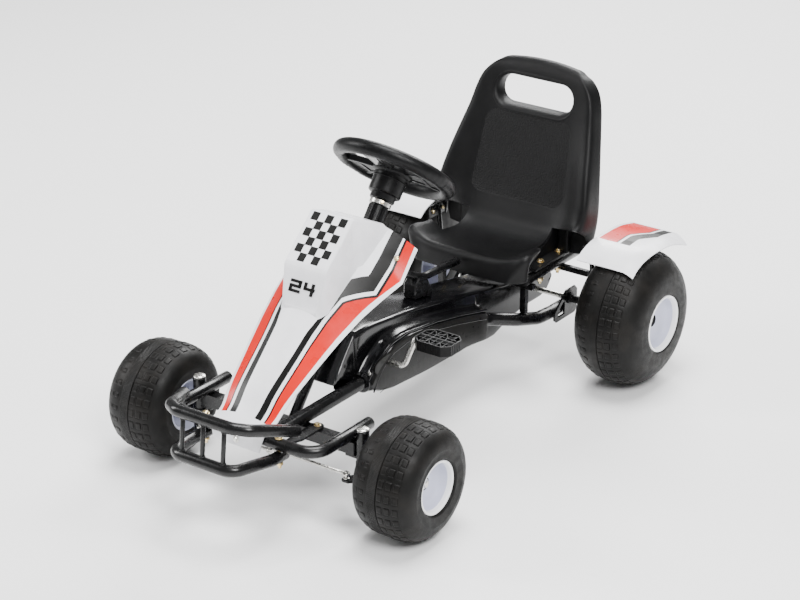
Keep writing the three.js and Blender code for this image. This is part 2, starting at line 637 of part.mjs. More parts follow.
// ---------------------------------------------------------------- seat
// Each row: centre [y, z], rim [x, y, z], skirt [x, y, z]; pocket gives the bolt recess [y, z].
const SEAT = [
  { mid: [519, 214], rim: [120, 522, 214], skirt: [134, 530, 214] },
  { mid: [520.5, 244], rim: [126, 525, 240], skirt: [142, 538, 214] },
  { mid: [529, 252], rim: [140, 534, 256], skirt: [149, 547, 214] },
  { mid: [548, 249], rim: [151, 552, 264], skirt: [154, 562, 214] },
  { mid: [580, 243], rim: [156, 584, 268], skirt: [157, 586, 214] },
  { mid: [608, 241], rim: [157, 608, 270], skirt: [158, 610, 214] },
  { mid: [616, 240], rim: [157, 616, 270], skirt: [158, 618, 214], pocket: [616, 222] },
  { mid: [650, 243], rim: [158, 650, 273], skirt: [158, 655, 214], pocket: [650, 222] },
  { mid: [676, 256], rim: [159, 672, 282], skirt: [158, 690, 214], pocket: [704, 222] },
  { mid: [692, 282], rim: [160, 684, 300], skirt: [158, 712, 236], pocket: [710, 300] },
  { mid: [706, 314], rim: [160, 697, 325], skirt: [160, 730, 280] },
  { mid: [722, 370], rim: [160, 712, 375], skirt: [163, 744, 345] },
  { mid: [738, 440], rim: [153, 731, 443], skirt: [157, 764, 425] },
  { mid: [756, 490], rim: [140, 750, 491], skirt: [145, 781, 486] },
  { mid: [767, 520], rim: [122, 763, 521], skirt: [127, 789, 520] },
  { mid: [779, 548], rim: [101, 776, 545], skirt: [105, 795, 543] },
  { mid: [785, 555.5], rim: [96, 783, 552], skirt: [100, 797, 549] },
  { mid: [798, 554], rim: [94, 798, 550], skirt: [97, 801, 546] },
];
function seatRow({ mid, rim, skirt, pocket }) {
  const point = (u) => {
    const rise = u > 0.5 ? ((u - 0.5) * 2) ** 2 : 0;
    return vec(u * rim[0], mid[0] + (rim[1] - mid[0]) * rise, mid[1] + (rim[2] - mid[1]) * rise);
  };
  const half = [0, 0.3, 0.54, 0.59, 0.78, 0.92, 1].map(point);
  half.push(vec(...skirt));
  if (pocket) {
    half[3] = vec(91, pocket[0], pocket[1]);
    half[4] = vec(124, pocket[0], pocket[1]);
  }
  return fullRow(half);
}
const seatShell = sheet(SEAT.map(seatRow), 4);
const handle = plateX([[700, 462], [840, 462], [840, 508], [700, 508]], -64, 64);
const handleEnd = (s) => rod([s * 64, 700, 485], [s * 64, 840, 485], 23, 12);
const seatHoles = [-1, 1].flatMap((s) => SEAT_BOLT_Y.map((y) => (
  rod([s * RAIL.x, y, 205], [s * RAIL.x, y, 240], around(3.4, 12))
)));
add("seat", cut(seatShell, handle, handleEnd(1), handleEnd(-1), ...seatHoles), blackPlastic);

const railHole = (y) => rod([RAIL.x, y, 185], [RAIL.x, y, 220], around(3.4, 12));
const rail = cut(
  rod([RAIL.x, RAIL.front, RAIL.z], [RAIL.x, RAIL.back, RAIL.z], RAIL.r, 14),
  ...SEAT_BOLT_Y.map(railHole),
);
addPair("seat_rail", rail, blackPaint);
const plug = rod([RAIL.x, RAIL.front - 3.8, RAIL.z], [RAIL.x, RAIL.front - 0.4, RAIL.z], RAIL.r, 14);
addPair("rail_plug", welded(plug), blackPlastic);

["front", "rear"].forEach((where, i) => {
  const y = SEAT_BOLT_Y[i];
  const bolt = joined(
    rod([RAIL.x, y, 180], [RAIL.x, y, 225], 3, 10),
    rod([RAIL.x, y, 223], [RAIL.x, y, 227.5], 7, 12),
    rod([RAIL.x, y, 184], [RAIL.x, y, 191.8], 5.8, 6),
  );
  addPair(`seat_bolt_${where}`, bolt, goldZinc);
});

const frontLegs = [block(84, 95, 590, 601, 133, 182), block(-95, -84, 590, 601, 133, 182)];
add("seat_crossbar_front", joined(block(-110, 110, 590, 601, 181, 192), ...frontLegs), blackPaint);
add("seat_crossbar_rear", welded(block(-157, 157, 702, 713, 181, 192)), blackPaint);

// ---------------------------------------------------------------- rear fenders
const bracketPath = [[112.9, 743, 108], [130, 743, 112], [150, 735, 150], [167, 704, 186], [167, 694, 245]];
const bracket = joined(
  tube(bracketPath, 4.6, 18, 10, 2),
  block(165.2, 169.2, 666, 712, 232, 256),
  block(165.2, 184, 688, 712, 253.6, 256.4),
);
addPair("fender_bracket", bracket, blackPaint);

// Rows front to back: [y, z] of the top face, and how far the outer edge rolls down.
const FENDER = [
  [640, 240.5, 8], [655, 251, 8], [675, 258.5, 8], [700, 262.5, 8], [730, 263.5, 8],
  [770, 262.5, 10], [800, 258, 13], [835, 250, 18],
];
const fenderRow = ([y, z, drop]) => [
  vec(170.5, y, z), vec(215, y, z), vec(262, y, z), vec(277, y, z - drop * 0.45), vec(287, y, z - drop),
];
addPair("fender", sheet(FENDER.map(fenderRow), 2.5), whitePlastic);

export default kart;
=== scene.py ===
"""Looks of the pedal go kart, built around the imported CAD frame.

Points are in kart millimetres: x to the driver's left, y back from the front axle, z up from the floor.
Each piece is made from its own outline or section and rides on its CAD body.
"""

from functools import partial
from math import atan2, cos, exp, pi, radians, sin, tan, tau

import bmesh
import bpy
import numpy as np
from mathutils import Matrix, Vector


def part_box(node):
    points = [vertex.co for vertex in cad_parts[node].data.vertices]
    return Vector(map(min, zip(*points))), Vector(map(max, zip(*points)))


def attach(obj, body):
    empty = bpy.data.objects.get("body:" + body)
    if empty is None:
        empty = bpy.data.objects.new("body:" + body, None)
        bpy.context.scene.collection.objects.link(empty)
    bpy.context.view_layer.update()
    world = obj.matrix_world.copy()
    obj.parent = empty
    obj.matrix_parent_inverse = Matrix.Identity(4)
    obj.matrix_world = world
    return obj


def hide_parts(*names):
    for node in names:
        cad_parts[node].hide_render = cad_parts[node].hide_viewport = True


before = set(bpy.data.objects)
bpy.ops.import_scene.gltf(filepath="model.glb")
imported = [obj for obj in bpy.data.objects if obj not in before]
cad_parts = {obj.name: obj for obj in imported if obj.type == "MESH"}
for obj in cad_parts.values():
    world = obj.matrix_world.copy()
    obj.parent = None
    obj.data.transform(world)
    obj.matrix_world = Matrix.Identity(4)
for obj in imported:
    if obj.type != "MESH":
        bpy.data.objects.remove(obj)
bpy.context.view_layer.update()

# ------------------------------------------------------------------ frame of reference
MM = 0.001
WHEELBASE = 710.6
axle_low, axle_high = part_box("rear_axle")
SHIFT = (axle_low[1] + axle_high[1]) / 2 / MM - WHEELBASE

FRONT_R = 100.0
REAR_R = 127.0
WHEEL_X = {"front": 256.2, "rear": 246.8}
COLUMN_TOP = Vector((0, 314.8, 475.9))
COLUMN_TILT = radians(-39)
KINGPIN = (170, -8.5, 0)
TIE_EYE_X, STUD_Y = 153, -31
RAIL_X, RAIL_Z = 100, 202
PLATE_X = 114.4
CRANK = (208.0, 175.6)
X, Y, Z = Vector((1, 0, 0)), Vector((0, 1, 0)), Vector((0, 0, 1))


def metres(point):
    """Kart millimetres to frame metres."""
    return (point[0] * MM, (point[1] + SHIFT) * MM, point[2] * MM)


# ------------------------------------------------------------------ materials
def new_material(name, color, roughness, metallic=0.0, coat=0.0, specular=0.5):
    mat = bpy.data.materials.new(name)
    mat.use_nodes = True
    shader = mat.node_tree.nodes["Principled BSDF"]
    shader.inputs["Base Color"].default_value = (*color, 1)
    shader.inputs["Roughness"].default_value = roughness
    shader.inputs["Metallic"].default_value = metallic
    shader.inputs["Coat Weight"].default_value = coat
    shader.inputs["Coat Roughness"].default_value = 0.08
    shader.inputs["Specular IOR Level"].default_value = specular
    return mat, shader


def noise(mat, scale, detail=3.0, stretch=None):
    nodes, links = mat.node_tree.nodes, mat.node_tree.links
    place = nodes.new("ShaderNodeTexCoord")
    out = nodes.new("ShaderNodeTexNoise")
    out.inputs["Scale"].default_value = scale
    out.inputs["Detail"].default_value = detail
    source = place.outputs["Object"]
    if stretch:
        mapping = nodes.new("ShaderNodeMapping")
        mapping.inputs["Scale"].default_value = stretch
        links.new(source, mapping.inputs["Vector"])
        source = mapping.outputs["Vector"]
    links.new(source, out.inputs["Vector"])
    return out.outputs["Fac"]


def math_node(mat, operation, a, b=None, clamp=False):
    node = mat.node_tree.nodes.new("ShaderNodeMath")
    node.operation = operation
    node.use_clamp = clamp
    for socket, value in zip(node.inputs, (a, b)):
        if value is None:
            continue
        if isinstance(value, (int, float)):
            socket.default_value = value
        else:
            mat.node_tree.links.new(value, socket)
    return node.outputs[0]


def bump(mat, shader, height, distance, strength=1.0):
    node = mat.node_tree.nodes.new("ShaderNodeBump")
    node.inputs["Distance"].default_value = distance
    node.inputs["Strength"].default_value = strength
    mat.node_tree.links.new(height, node.inputs["Height"])
    mat.node_tree.links.new(node.outputs["Normal"], shader.inputs["Normal"])
    return node


def spread(mat, value, low, high, socket):
    """Maps a 0 to 1 value onto low to high and feeds a shader socket."""
    node = mat.node_tree.nodes.new("ShaderNodeMapRange")
    node.inputs["From Min"].default_value = 0.3
    node.inputs["From Max"].default_value = 0.7
    node.inputs["To Min"].default_value = low
    node.inputs["To Max"].default_value = high
    mat.node_tree.links.new(value, node.inputs["Value"])
    mat.node_tree.links.new(node.outputs["Result"], socket)


def tint(mat, shader, value, colors):
    """Colour that drifts between the given ones with a 0 to 1 value."""
    ramp = mat.node_tree.nodes.new("ShaderNodeValToRGB")
    stops = ramp.color_ramp.elements
    while len(stops) < len(colors):
        stops.new(0.5)
    for i, color in enumerate(colors):
        stops[i].position = 0.35 + 0.3 * i / (len(colors) - 1)
        stops[i].color = (*color, 1)
    mat.node_tree.links.new(value, ramp.inputs["Fac"])
    mat.node_tree.links.new(ramp.outputs["Color"], shader.inputs["Base Color"])


def powder_coat():
    mat, shader = new_material("powder_coat", (0.003, 0.003, 0.003), 0.22, coat=0.1, specular=0.3)
    tint(mat, shader, noise(mat, 14), [(0.002, 0.002, 0.0022), (0.004, 0.004, 0.0043)])
    spread(mat, noise(mat, 60), 0.2, 0.34, shader.inputs["Roughness"])
    bump(mat, shader, noise(mat, 900, 2), 0.0002, 0.35)
    return mat


def gloss_black():
    mat, shader = new_material("gloss_black", (0.002, 0.002, 0.0024), 0.13, coat=0.1, specular=0.35)
    tint(mat, shader, noise(mat, 9), [(0.0015, 0.0015, 0.002), (0.003, 0.003, 0.0035)])
    spread(mat, noise(mat, 25), 0.1, 0.2, shader.inputs["Roughness"])
    bump(mat, shader, noise(mat, 70, 1), 0.0006, 0.12)
    return mat


def grained(name, color, roughness, grain=1500, depth=0.0003):
    mat, shader = new_material(name, color, roughness, specular=0.16)
    lighter = tuple(c * 1.5 for c in color)
    tint(mat, shader, noise(mat, 22), [color, lighter])
    spread(mat, noise(mat, 120), roughness - 0.07, roughness + 0.07, shader.inputs["Roughness"])
    bump(mat, shader, noise(mat, grain, 2), depth, 0.5)
    return mat


def rubber(name, ribbed):
    """Worn-looking moulded rubber. The front tyres also have a band of fine slanting ribs beside the seam."""
    mat, shader = new_material(name, (0.004, 0.0038, 0.0035), 0.5, specular=0.16)
    tint(mat, shader, noise(mat, 26, 5), [(0.0025, 0.0024, 0.0022), (0.0042, 0.0039, 0.0036),
                                          (0.0075, 0.0066, 0.0058)])
    spread(mat, noise(mat, 70), 0.38, 0.58, shader.inputs["Roughness"])
    height = math_node(mat, "MULTIPLY", noise(mat, 1300, 3), 0.35)
    if ribbed:
        height = math_node(mat, "ADD", height, rib_band(mat))
    bump(mat, shader, height, 0.0006, 0.8)
    return mat


def rib_band(mat):
    """Wave of slanting ribs round the front tyres, zero away from the band."""
    nodes, links = mat.node_tree.nodes, mat.node_tree.links
    place = nodes.new("ShaderNodeTexCoord")
    axes = nodes.new("ShaderNodeSeparateXYZ")
    links.new(place.outputs["Object"], axes.inputs["Vector"])
    calc = partial(math_node, mat)
    back = calc("SUBTRACT", axes.outputs["Y"], SHIFT * MM)
    high = calc("SUBTRACT", axes.outputs["Z"], FRONT_R * MM)
    angle = calc("ARCTAN2", back, high)
    side = calc("MULTIPLY", calc("SIGN", axes.outputs["X"]), WHEEL_X["front"] * MM)
    across = calc("SUBTRACT", axes.outputs["X"], side)
    turn = calc("MULTIPLY", angle, 200)
    wave = calc("SINE", calc("ADD", turn, calc("MULTIPLY", across, 1900)))
    from_middle = calc("ABSOLUTE", calc("ADD", across, 0.0075))
    inside = calc("MULTIPLY", calc("SUBTRACT", 0.0088, from_middle), 1200, clamp=True)
    return calc("MULTIPLY", inside, wave)


def plated(name, colors, roughness):
    mat, shader = new_material(name, colors[0], roughness, metallic=1.0)
    tint(mat, shader, noise(mat, 150, 3), colors)
    spread(mat, noise(mat, 400, 3), roughness - 0.1, roughness + 0.12, shader.inputs["Roughness"])
    bump(mat, shader, noise(mat, 700, 2), 0.0002, 0.3)
    return mat


def film(name, color, roughness=0.3):
    mat, shader = new_material(name, color, roughness, coat=0.02, specular=0.22)
    darker = tuple(c * 0.9 for c in color)
    tint(mat, shader, noise(mat, 10), [darker, color])
    spread(mat, noise(mat, 40), roughness - 0.06, roughness + 0.06, shader.inputs["Roughness"])
    bump(mat, shader, noise(mat, 120, 1), 0.0003, 0.12)
    return mat


def seat_plastic():
    """Fine grain all over, and a pebbled panel with round corners on the backrest."""
    mat, shader = new_material("seat_plastic", (0.003, 0.003, 0.0032), 0.36, specular=0.17)
    nodes, links = mat.node_tree.nodes, mat.node_tree.links
    place = nodes.new("ShaderNodeTexCoord")
    axes = nodes.new("ShaderNodeSeparateXYZ")
    links.new(place.outputs["Object"], axes.inputs["Vector"])
    calc = partial(math_node, mat)
    across, up = axes.outputs["X"], axes.outputs["Z"]
    rise = calc("SUBTRACT", up, 0.374)
    widen = calc("SUBTRACT", 1.0, calc("MULTIPLY", rise, 0.7))
    even = calc("DIVIDE", calc("ABSOLUTE", across), widen)
    round_r = 0.024
    dx = calc("MAXIMUM", calc("SUBTRACT", even, 0.096 - round_r), 0.0)
    high = calc("ABSOLUTE", rise)
    dz = calc("MAXIMUM", calc("SUBTRACT", high, 0.077 - round_r), 0.0)
    reach = calc("SQRT", calc(
        "ADD", calc("MULTIPLY", dx, dx), calc("MULTIPLY", dz, dz)))
    edge = calc("DIVIDE", calc("SUBTRACT", round_r, reach), 0.0022)
    back = calc("GREATER_THAN", up, 0.29)
    panel = calc("MULTIPLY", calc("MULTIPLY", edge, 1.0, clamp=True), back)
    pebble = nodes.new("ShaderNodeTexVoronoi")
    pebble.inputs["Scale"].default_value = 420
    links.new(place.outputs["Object"], pebble.inputs["Vector"])
    stones = calc("MULTIPLY", calc("SUBTRACT", 1.0, pebble.outputs["Distance"]), panel)
    fine = calc("MULTIPLY", noise(mat, 1400, 2), 0.22)
    lowered = calc("MULTIPLY", panel, -0.9)
    height = calc("ADD", calc("ADD", stones, fine), lowered)
    bump(mat, shader, height, 0.0011, 1.0)
    tint(mat, shader, noise(mat, 12), [(0.0025, 0.0025, 0.0027), (0.0042, 0.0042, 0.0045)])
    rough = calc("ADD", calc("MULTIPLY", panel, 0.1), 0.36)
    links.new(calc("ADD", rough, calc("MULTIPLY", noise(mat, 90), 0.08)),
              shader.inputs["Roughness"])
    return mat


MATS = {
    "paint": powder_coat(),
    "gloss": gloss_black(),
    "case_matt": grained("case_matt", (0.004, 0.0038, 0.0035), 0.34, 800, 0.0002),
    "plastic": grained("black_plastic", (0.003, 0.003, 0.0032), 0.32),
    "grip": grained("grip_plastic", (0.003, 0.003, 0.0032), 0.34, 1200, 0.0003),
    "seat": seat_plastic(),
    "rubber": rubber("rear_rubber", False),
    "ribbed": rubber("front_rubber", True),
    "zinc": plated("bright_zinc", [(0.52, 0.51, 0.48), (0.74, 0.73, 0.69)], 0.26),
    "gold": plated("gold_zinc", [(0.62, 0.42, 0.16), (0.80, 0.66, 0.36), (0.74, 0.60, 0.42)], 0.28),
    "steel": plated("plain_steel", [(0.20, 0.195, 0.19), (0.34, 0.33, 0.32)], 0.36),
    "white": film("white_plastic", (0.86, 0.86, 0.89), 0.28),
    # Rim dish and rim lip are lit and shaded copies of one plastic: the dish colour is painted shade, the lip
    # colour a painted highlight.
    "rim": film("rim_plastic", (0.56, 0.575, 0.70), 0.34),
    "rim_painted_highlight": film("rim_painted_highlight", (0.92, 0.92, 0.93), 0.24),
    "red": film("red_film", (0.62, 0.006, 0.002)),
    "black_film": film("black_film", (0.0025, 0.0022, 0.002), 0.36),
    "grey_film": film("grey_film", (0.07, 0.07, 0.07)),
    "dark": grained("dark_recess", (0.002, 0.002, 0.002), 0.6),
}


# ------------------------------------------------------------------ mesh building
class Shape:
    """Collects closed pieces in kart millimetres and turns them into one mesh object."""

    def __init__(self):
        self.verts = []
        self.faces = []
        self.looks = []

    def add(self, part, look=0):
        verts, faces = part[0], part[1]
        base = len(self.verts)
        self.verts.extend(tuple(v) for v in verts)
        self.faces.extend(tuple(base + i for i in face) for face in faces)
        self.looks.extend(part[2] if len(part) > 2 else [look] * len(faces))
        return self

    @property
    def part(self):
        return self.verts, self.faces, self.looks

    def dress(self, node, body, slot, looks, sharp=38):
        """Makes the piece that takes one CAD node's place."""
        return self.make(f"{node}_look", body, [node], slot, looks, sharp)

    def make(self, name, body, nodes, slot, looks, sharp=38):
        mesh = bpy.data.meshes.new(name)
        mesh.from_pydata([metres(v) for v in self.verts], [], self.faces)
        for look in looks:
            mesh.materials.append(MATS[look])
        mesh.polygons.foreach_set("material_index", self.looks)
        mesh.polygons.foreach_set("use_smooth", [True] * len(self.faces))
        mesh.update()
        outward(mesh)
        mesh.set_sharp_from_angle(angle=radians(sharp))
        obj = bpy.data.objects.new(name, mesh)
        bpy.context.scene.collection.objects.link(obj)
        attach(obj, body)
        if nodes:
            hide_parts(*nodes)
        return obj


def outward(mesh):
    work = bmesh.new()
    work.from_mesh(mesh)
    bmesh.ops.recalc_face_normals(work, faces=work.faces)
    work.to_mesh(mesh)
    work.free()


def mirror(part):
    """The same part on the other side of the kart."""
    flipped = [(-v[0], v[1], v[2]) for v in part[0]]
    return (flipped, [tuple(reversed(face)) for face in part[1]], *part[2:])


def shaft_frame(axis):
    axis = Vector(axis).normalized()
    side = axis.orthogonal().normalized()
    if abs(axis.x) < 0.9:
        side = axis.cross(X).normalized()
    return axis, side, axis.cross(side)


def rings_to_faces(count, sides, closed=False):
    faces = []
    for i in range(count if closed else count - 1):
        a, b = i * sides, ((i + 1) % count) * sides
        for k in range(sides):
            n = (k + 1) % sides
            faces.append((a + k, a + n, b + n, b + k))
    if not closed:
        faces.append(tuple(range(sides))[::-1])
        faces.append(tuple((count - 1) * sides + k for k in range(sides)))
    return faces


def turned(profile, centre, axis=X, sides=48, closed=False, radius_at=None):
    """Revolves (radius, along) points about an axis through centre. radius_at can alter a radius by angle."""
    axis, side, other = shaft_frame(axis)
    centre = Vector(centre)
    verts = []
    for r, along in profile:
        for k in range(sides):
            a = 2 * pi * k / sides
            rr = radius_at(r, along, a) if radius_at else r
            verts.append(centre + axis * along + side * (rr * cos(a)) + other * (rr * sin(a)))
    return verts, rings_to_faces(len(profile), sides, closed)


def ring_profile(inner, outer, low, high, edge_r, edge_along):
    """Section of a plain ring or sleeve with chamfered outer edges."""
    return [(inner, low), (outer - edge_r, low), (outer, low + edge_along),
            (outer, high - edge_along), (outer - edge_r, high), (inner, high)]


def drum(centre, axis, r, low, high, edge=0.6, sides=32):
    """Short cylinder with softened rims."""
    profile = [(r * 0.02, low), (r - edge, low), (r - edge * 0.3, low + edge * 0.3), (r, low + edge),
               (r, high - edge), (r - edge * 0.3, high - edge * 0.3), (r - edge, high), (r * 0.02, high)]
    return turned(profile, centre, axis, sides)


def hexagon(centre, axis, r, low, high):
    chamfer = min(1.0, (high - low) / 3)
    profile = [(r * 0.02, low), (r - chamfer, low), (r, low + chamfer), (r, high - chamfer),
               (r - chamfer, high), (r * 0.02, high)]
    return turned(profile, centre, axis, 6)


def bend_path(corners, radius, pieces=7):
    """Rounds each inner corner of a route with an arc."""
    points = [Vector(c) for c in corners]
    route = [points[0]]
    for i in range(1, len(points) - 1):
        before, after = points[i] - points[i - 1], points[i + 1] - points[i]
        room = 0.48 * min(before.length, after.length)
        before.normalize()
        after.normalize()
        turn = before.angle(after)
        reach = min(radius * tan(turn / 2), room)
        used = reach / tan(turn / 2)
        side = (after - before * cos(turn)) / sin(turn)
        start = points[i] - before * reach
        for k in range(pieces + 1):
            a = turn * k / pieces
            route.append(start + before * (used * sin(a)) + side * (used * (1 - cos(a))))
    route.append(points[-1])
    return route


def swept(route, section, first_side=None):
    """Sweeps a closed (a, b) section along a route, with caps."""
    route = [Vector(p) for p in route]
    count = len(route)
    verts, side = [], None
    for i, point in enumerate(route):
        ahead = (route[min(i + 1, count - 1)] - point)
        behind = (point - route[max(i - 1, 0)])
        tangent = sum((step.normalized() for step in (ahead, behind) if step.length), Vector())
        tangent.normalize()
        if side is None:
            side = Vector(first_side) if first_side else tangent.orthogonal()
        side = (side - tangent * side.dot(tangent)).normalized()
        other = tangent.cross(side)
        shape = section(i) if callable(section) else section
        verts.extend(point + side * a + other * b for a, b in shape)
    return verts, rings_to_faces(count, len(verts) // count)


def circle(r, sides=24):
    return [(r * cos(2 * pi * k / sides),
             r * sin(2 * pi * k / sides)) for k in range(sides)]


def tube(corners, r, bend, sides=24, edge=1.2):
    """Bent tube with softened ends."""
    route = bend_path(corners, bend)
    first, last = (route[1] - route[0]).normalized(), (route[-1] - route[-2]).normalized()
    route = [route[0], route[0] + first * edge] + route[1:-1] + [route[-1] - last * edge, route[-1]]
    final = len(route) - 1
    return swept(route, lambda i: circle(r - edge * 0.7 if i in (0, final) else r, sides))


def prism(outline, low, high, axis=X, edge=1.0):
    """Plate cut to an outline in the two axes after axis, with a small chamfer round both faces."""
    points = [Vector(p) for p in outline]
    area = sum(p.x * q.y - q.x * p.y for p, q in zip(points, points[1:] + points[:1]))
    if area < 0:
        points.reverse()
    shrunk = []
    for i, p in enumerate(points):
        a = (p - points[i - 1]).normalized()
        b = (points[(i + 1) % len(points)] - p).normalized()
        inward = Vector((-a.y, a.x)) + Vector((-b.y, b.x))
        shrunk.append(p + inward.normalized() * min(edge * 1.3, edge / max(0.35, inward.length / 2)))
    levels = [(shrunk, low), (points, low + edge), (points, high - edge), (shrunk, high)]
    lay = {0: lambda p, h: (h, p.x, p.y), 1: lambda p, h: (p.x, h, p.y), 2: lambda p, h: (p.x, p.y, h)}
    place = lay[max(range(3), key=lambda i: abs(axis[i]))]
    verts = [place(p, h) for loop, h in levels for p in loop]
    return verts, rings_to_faces(4, len(points))


def box(x0, x1, y0, y1, z0, z1, edge=0.8):
    return prism([(x0, y0), (x1, y0), (x1, y1), (x0, y1)], z0, z1, Z, edge)


def sheet(rows, thickness, face_look=None):
    """Closed sheet of even thickness under a grid of points (rows run front to back)."""
    grid = np.array([[tuple(p) for p in row] for row in rows])
    along = np.gradient(grid, axis=0)
    across = np.gradient(grid, axis=1)
    normal = np.cross(across, along)
    normal /= np.maximum(np.linalg.norm(normal, axis=2, keepdims=True), 1e-9)
    back = grid - normal * thickness
    high, wide = grid.shape[:2]
    verts = [tuple(v) for v in np.concatenate([grid.reshape(-1, 3), back.reshape(-1, 3)])]
    faces, looks = [], []
    n = high * wide
    for i in range(high - 1):
        for j in range(wide - 1):
            a, b, c, d = i * wide + j, i * wide + j + 1, (i + 1) * wide + j + 1, (i + 1) * wide + j
            faces.append((a, b, c, d))
            faces.append((n + a, n + d, n + c, n + b))
            looks.extend([face_look(i, j) if face_look else 0, 0])
    rim = list(range(wide)) + [i * wide + wide - 1 for i in range(1, high)]
    rim += [(high - 1) * wide + j for j in range(wide - 2, -1,
                                                 -1)] + [i * wide for i in range(high - 2, 0, -1)]
    for a, b in zip(rim, rim[1:] + rim[:1]):
        faces.append((b, a, n + a, n + b))
        looks.append(0)
    return verts, faces, looks


def smooth_between(keys, per_gap, corners=()):
    """Catmull-Rom points through keyed rows of numbers; at a corner key the run bends sharply."""
    keys = [np.array(k, float) for k in keys]
    rows = []
    for i in range(len(keys) - 1):
        p1, p2 = keys[i], keys[i + 1]
        p0 = keys[i - 1] if i > 0 and i not in corners else 2 * p1 - p2
        p3 = keys[i + 2] if i + 2 < len(keys) and i + 1 not in corners else 2 * p2 - p1
        for k in range(per_gap):
            t = k / per_gap
            rows.append(0.5 * (2 * p1 + (p2 - p0) * t + (2 * p0 - 5 * p1 + 4 * p2 - p3) * t * t
                               + (3 * p1 - p0 - 3 * p2 + p3) * t ** 3))
    rows.append(keys[-1])
    return rows


def subdivide(obj, levels=1):
    modifier = obj.modifiers.new("smooth", "SUBSURF")
    modifier.levels = modifier.render_levels = levels
    return obj


def settle(obj):
    """Applies an object's modifiers."""
    graph = bpy.context.evaluated_depsgraph_get()
    mesh = bpy.data.meshes.new_from_object(obj.evaluated_get(graph))
    obj.modifiers.clear()
    obj.data = mesh


def cut_out(obj, part):
    """Cuts a closed part, in kart millimetres, out of an object."""
    mesh = bpy.data.meshes.new("cutter")
    mesh.from_pydata([metres(v) for v in part[0]], [], part[1])
    mesh.update()
    outward(mesh)
    tool = bpy.data.objects.new("cutter", mesh)
    bpy.context.scene.collection.objects.link(tool)
    modifier = obj.modifiers.new("cut", "BOOLEAN")
    modifier.operation = "DIFFERENCE"
    modifier.object = tool
    settle(obj)
    bpy.data.objects.remove(tool)


def both(name, part, body, slot, looks, sharp=38, node=None, bodies=None):
    """The same piece on the left and mirrored on the right."""
    for side in ("left", "right"):
        shape = Shape().add(part if side == "left" else mirror(part))
        rides = f"{bodies}_{side}" if bodies else body
        shape.make(f"{name}_{side}_look", rides, [f"{node or name}_{side}"], slot, looks, sharp)


# ------------------------------------------------------------------ wheels
TREAD = {
    "front": dict(radius=FRONT_R, half=61.0, fullness=3.0, rim=46.1, lip=55.3, floor=29.5, pitches=28),
    "rear": dict(radius=REAR_R, half=69.5, fullness=2.3, rim=52.6, lip=68.7, floor=45.0, pitches=36),
}
# Middle and half-width, across the tread, of each column of blocks, in mm from the crown
BLOCKS = [(9.5, 4.6), (23.5, 4.8), (37.5, 4.6), (-26, 4.2), (-39, 3.8)]
SEAM = 2.6


def tread_height(arc, around, hand):
    """Height of the tread in mm at an arc length from the crown and a distance from the middle of a pitch."""
    height = np.zeros_like(around)
    for column, (middle, half) in enumerate(BLOCKS):
        outside = np.maximum(abs(arc * hand - middle) - half, np.abs(around) - (6.4 if column < 3 else 3.6))
        fade = (0.9, 1.0, 0.8, 0.8, 0.6)[column]
        height = height + fade * np.interp(outside, [-0.5, 0.4, 1.5], [0.95, -0.6, 0])
    if abs(arc * hand - SEAM) < 0.5:
        return np.full_like(around, -1.5)
    return height


def tread_marks(total, crown):
    """Where rings of the tyre's mesh go: on every edge of the tread, and evenly between."""
    edges = [s * (m + e * h) for m, h in BLOCKS for s in (1, -1) for e in (1, -1)]
    fine = [e + d for e in edges for d in (-1.5, -0.4, 0.4, 1.5)]
    fine += [s * SEAM + d for s in (1, -1) for d in (-1.1, -0.45, 0.45, 1.1)]
    marks = [0.0, total]
    for mark in [m + crown for m in fine] + list(np.arange(1.5, total, 2.0)):
        if 0 < mark < total and min(abs(mark - other) for other in marks) > 0.32:
            marks.append(mark)
    return np.array(sorted(marks))


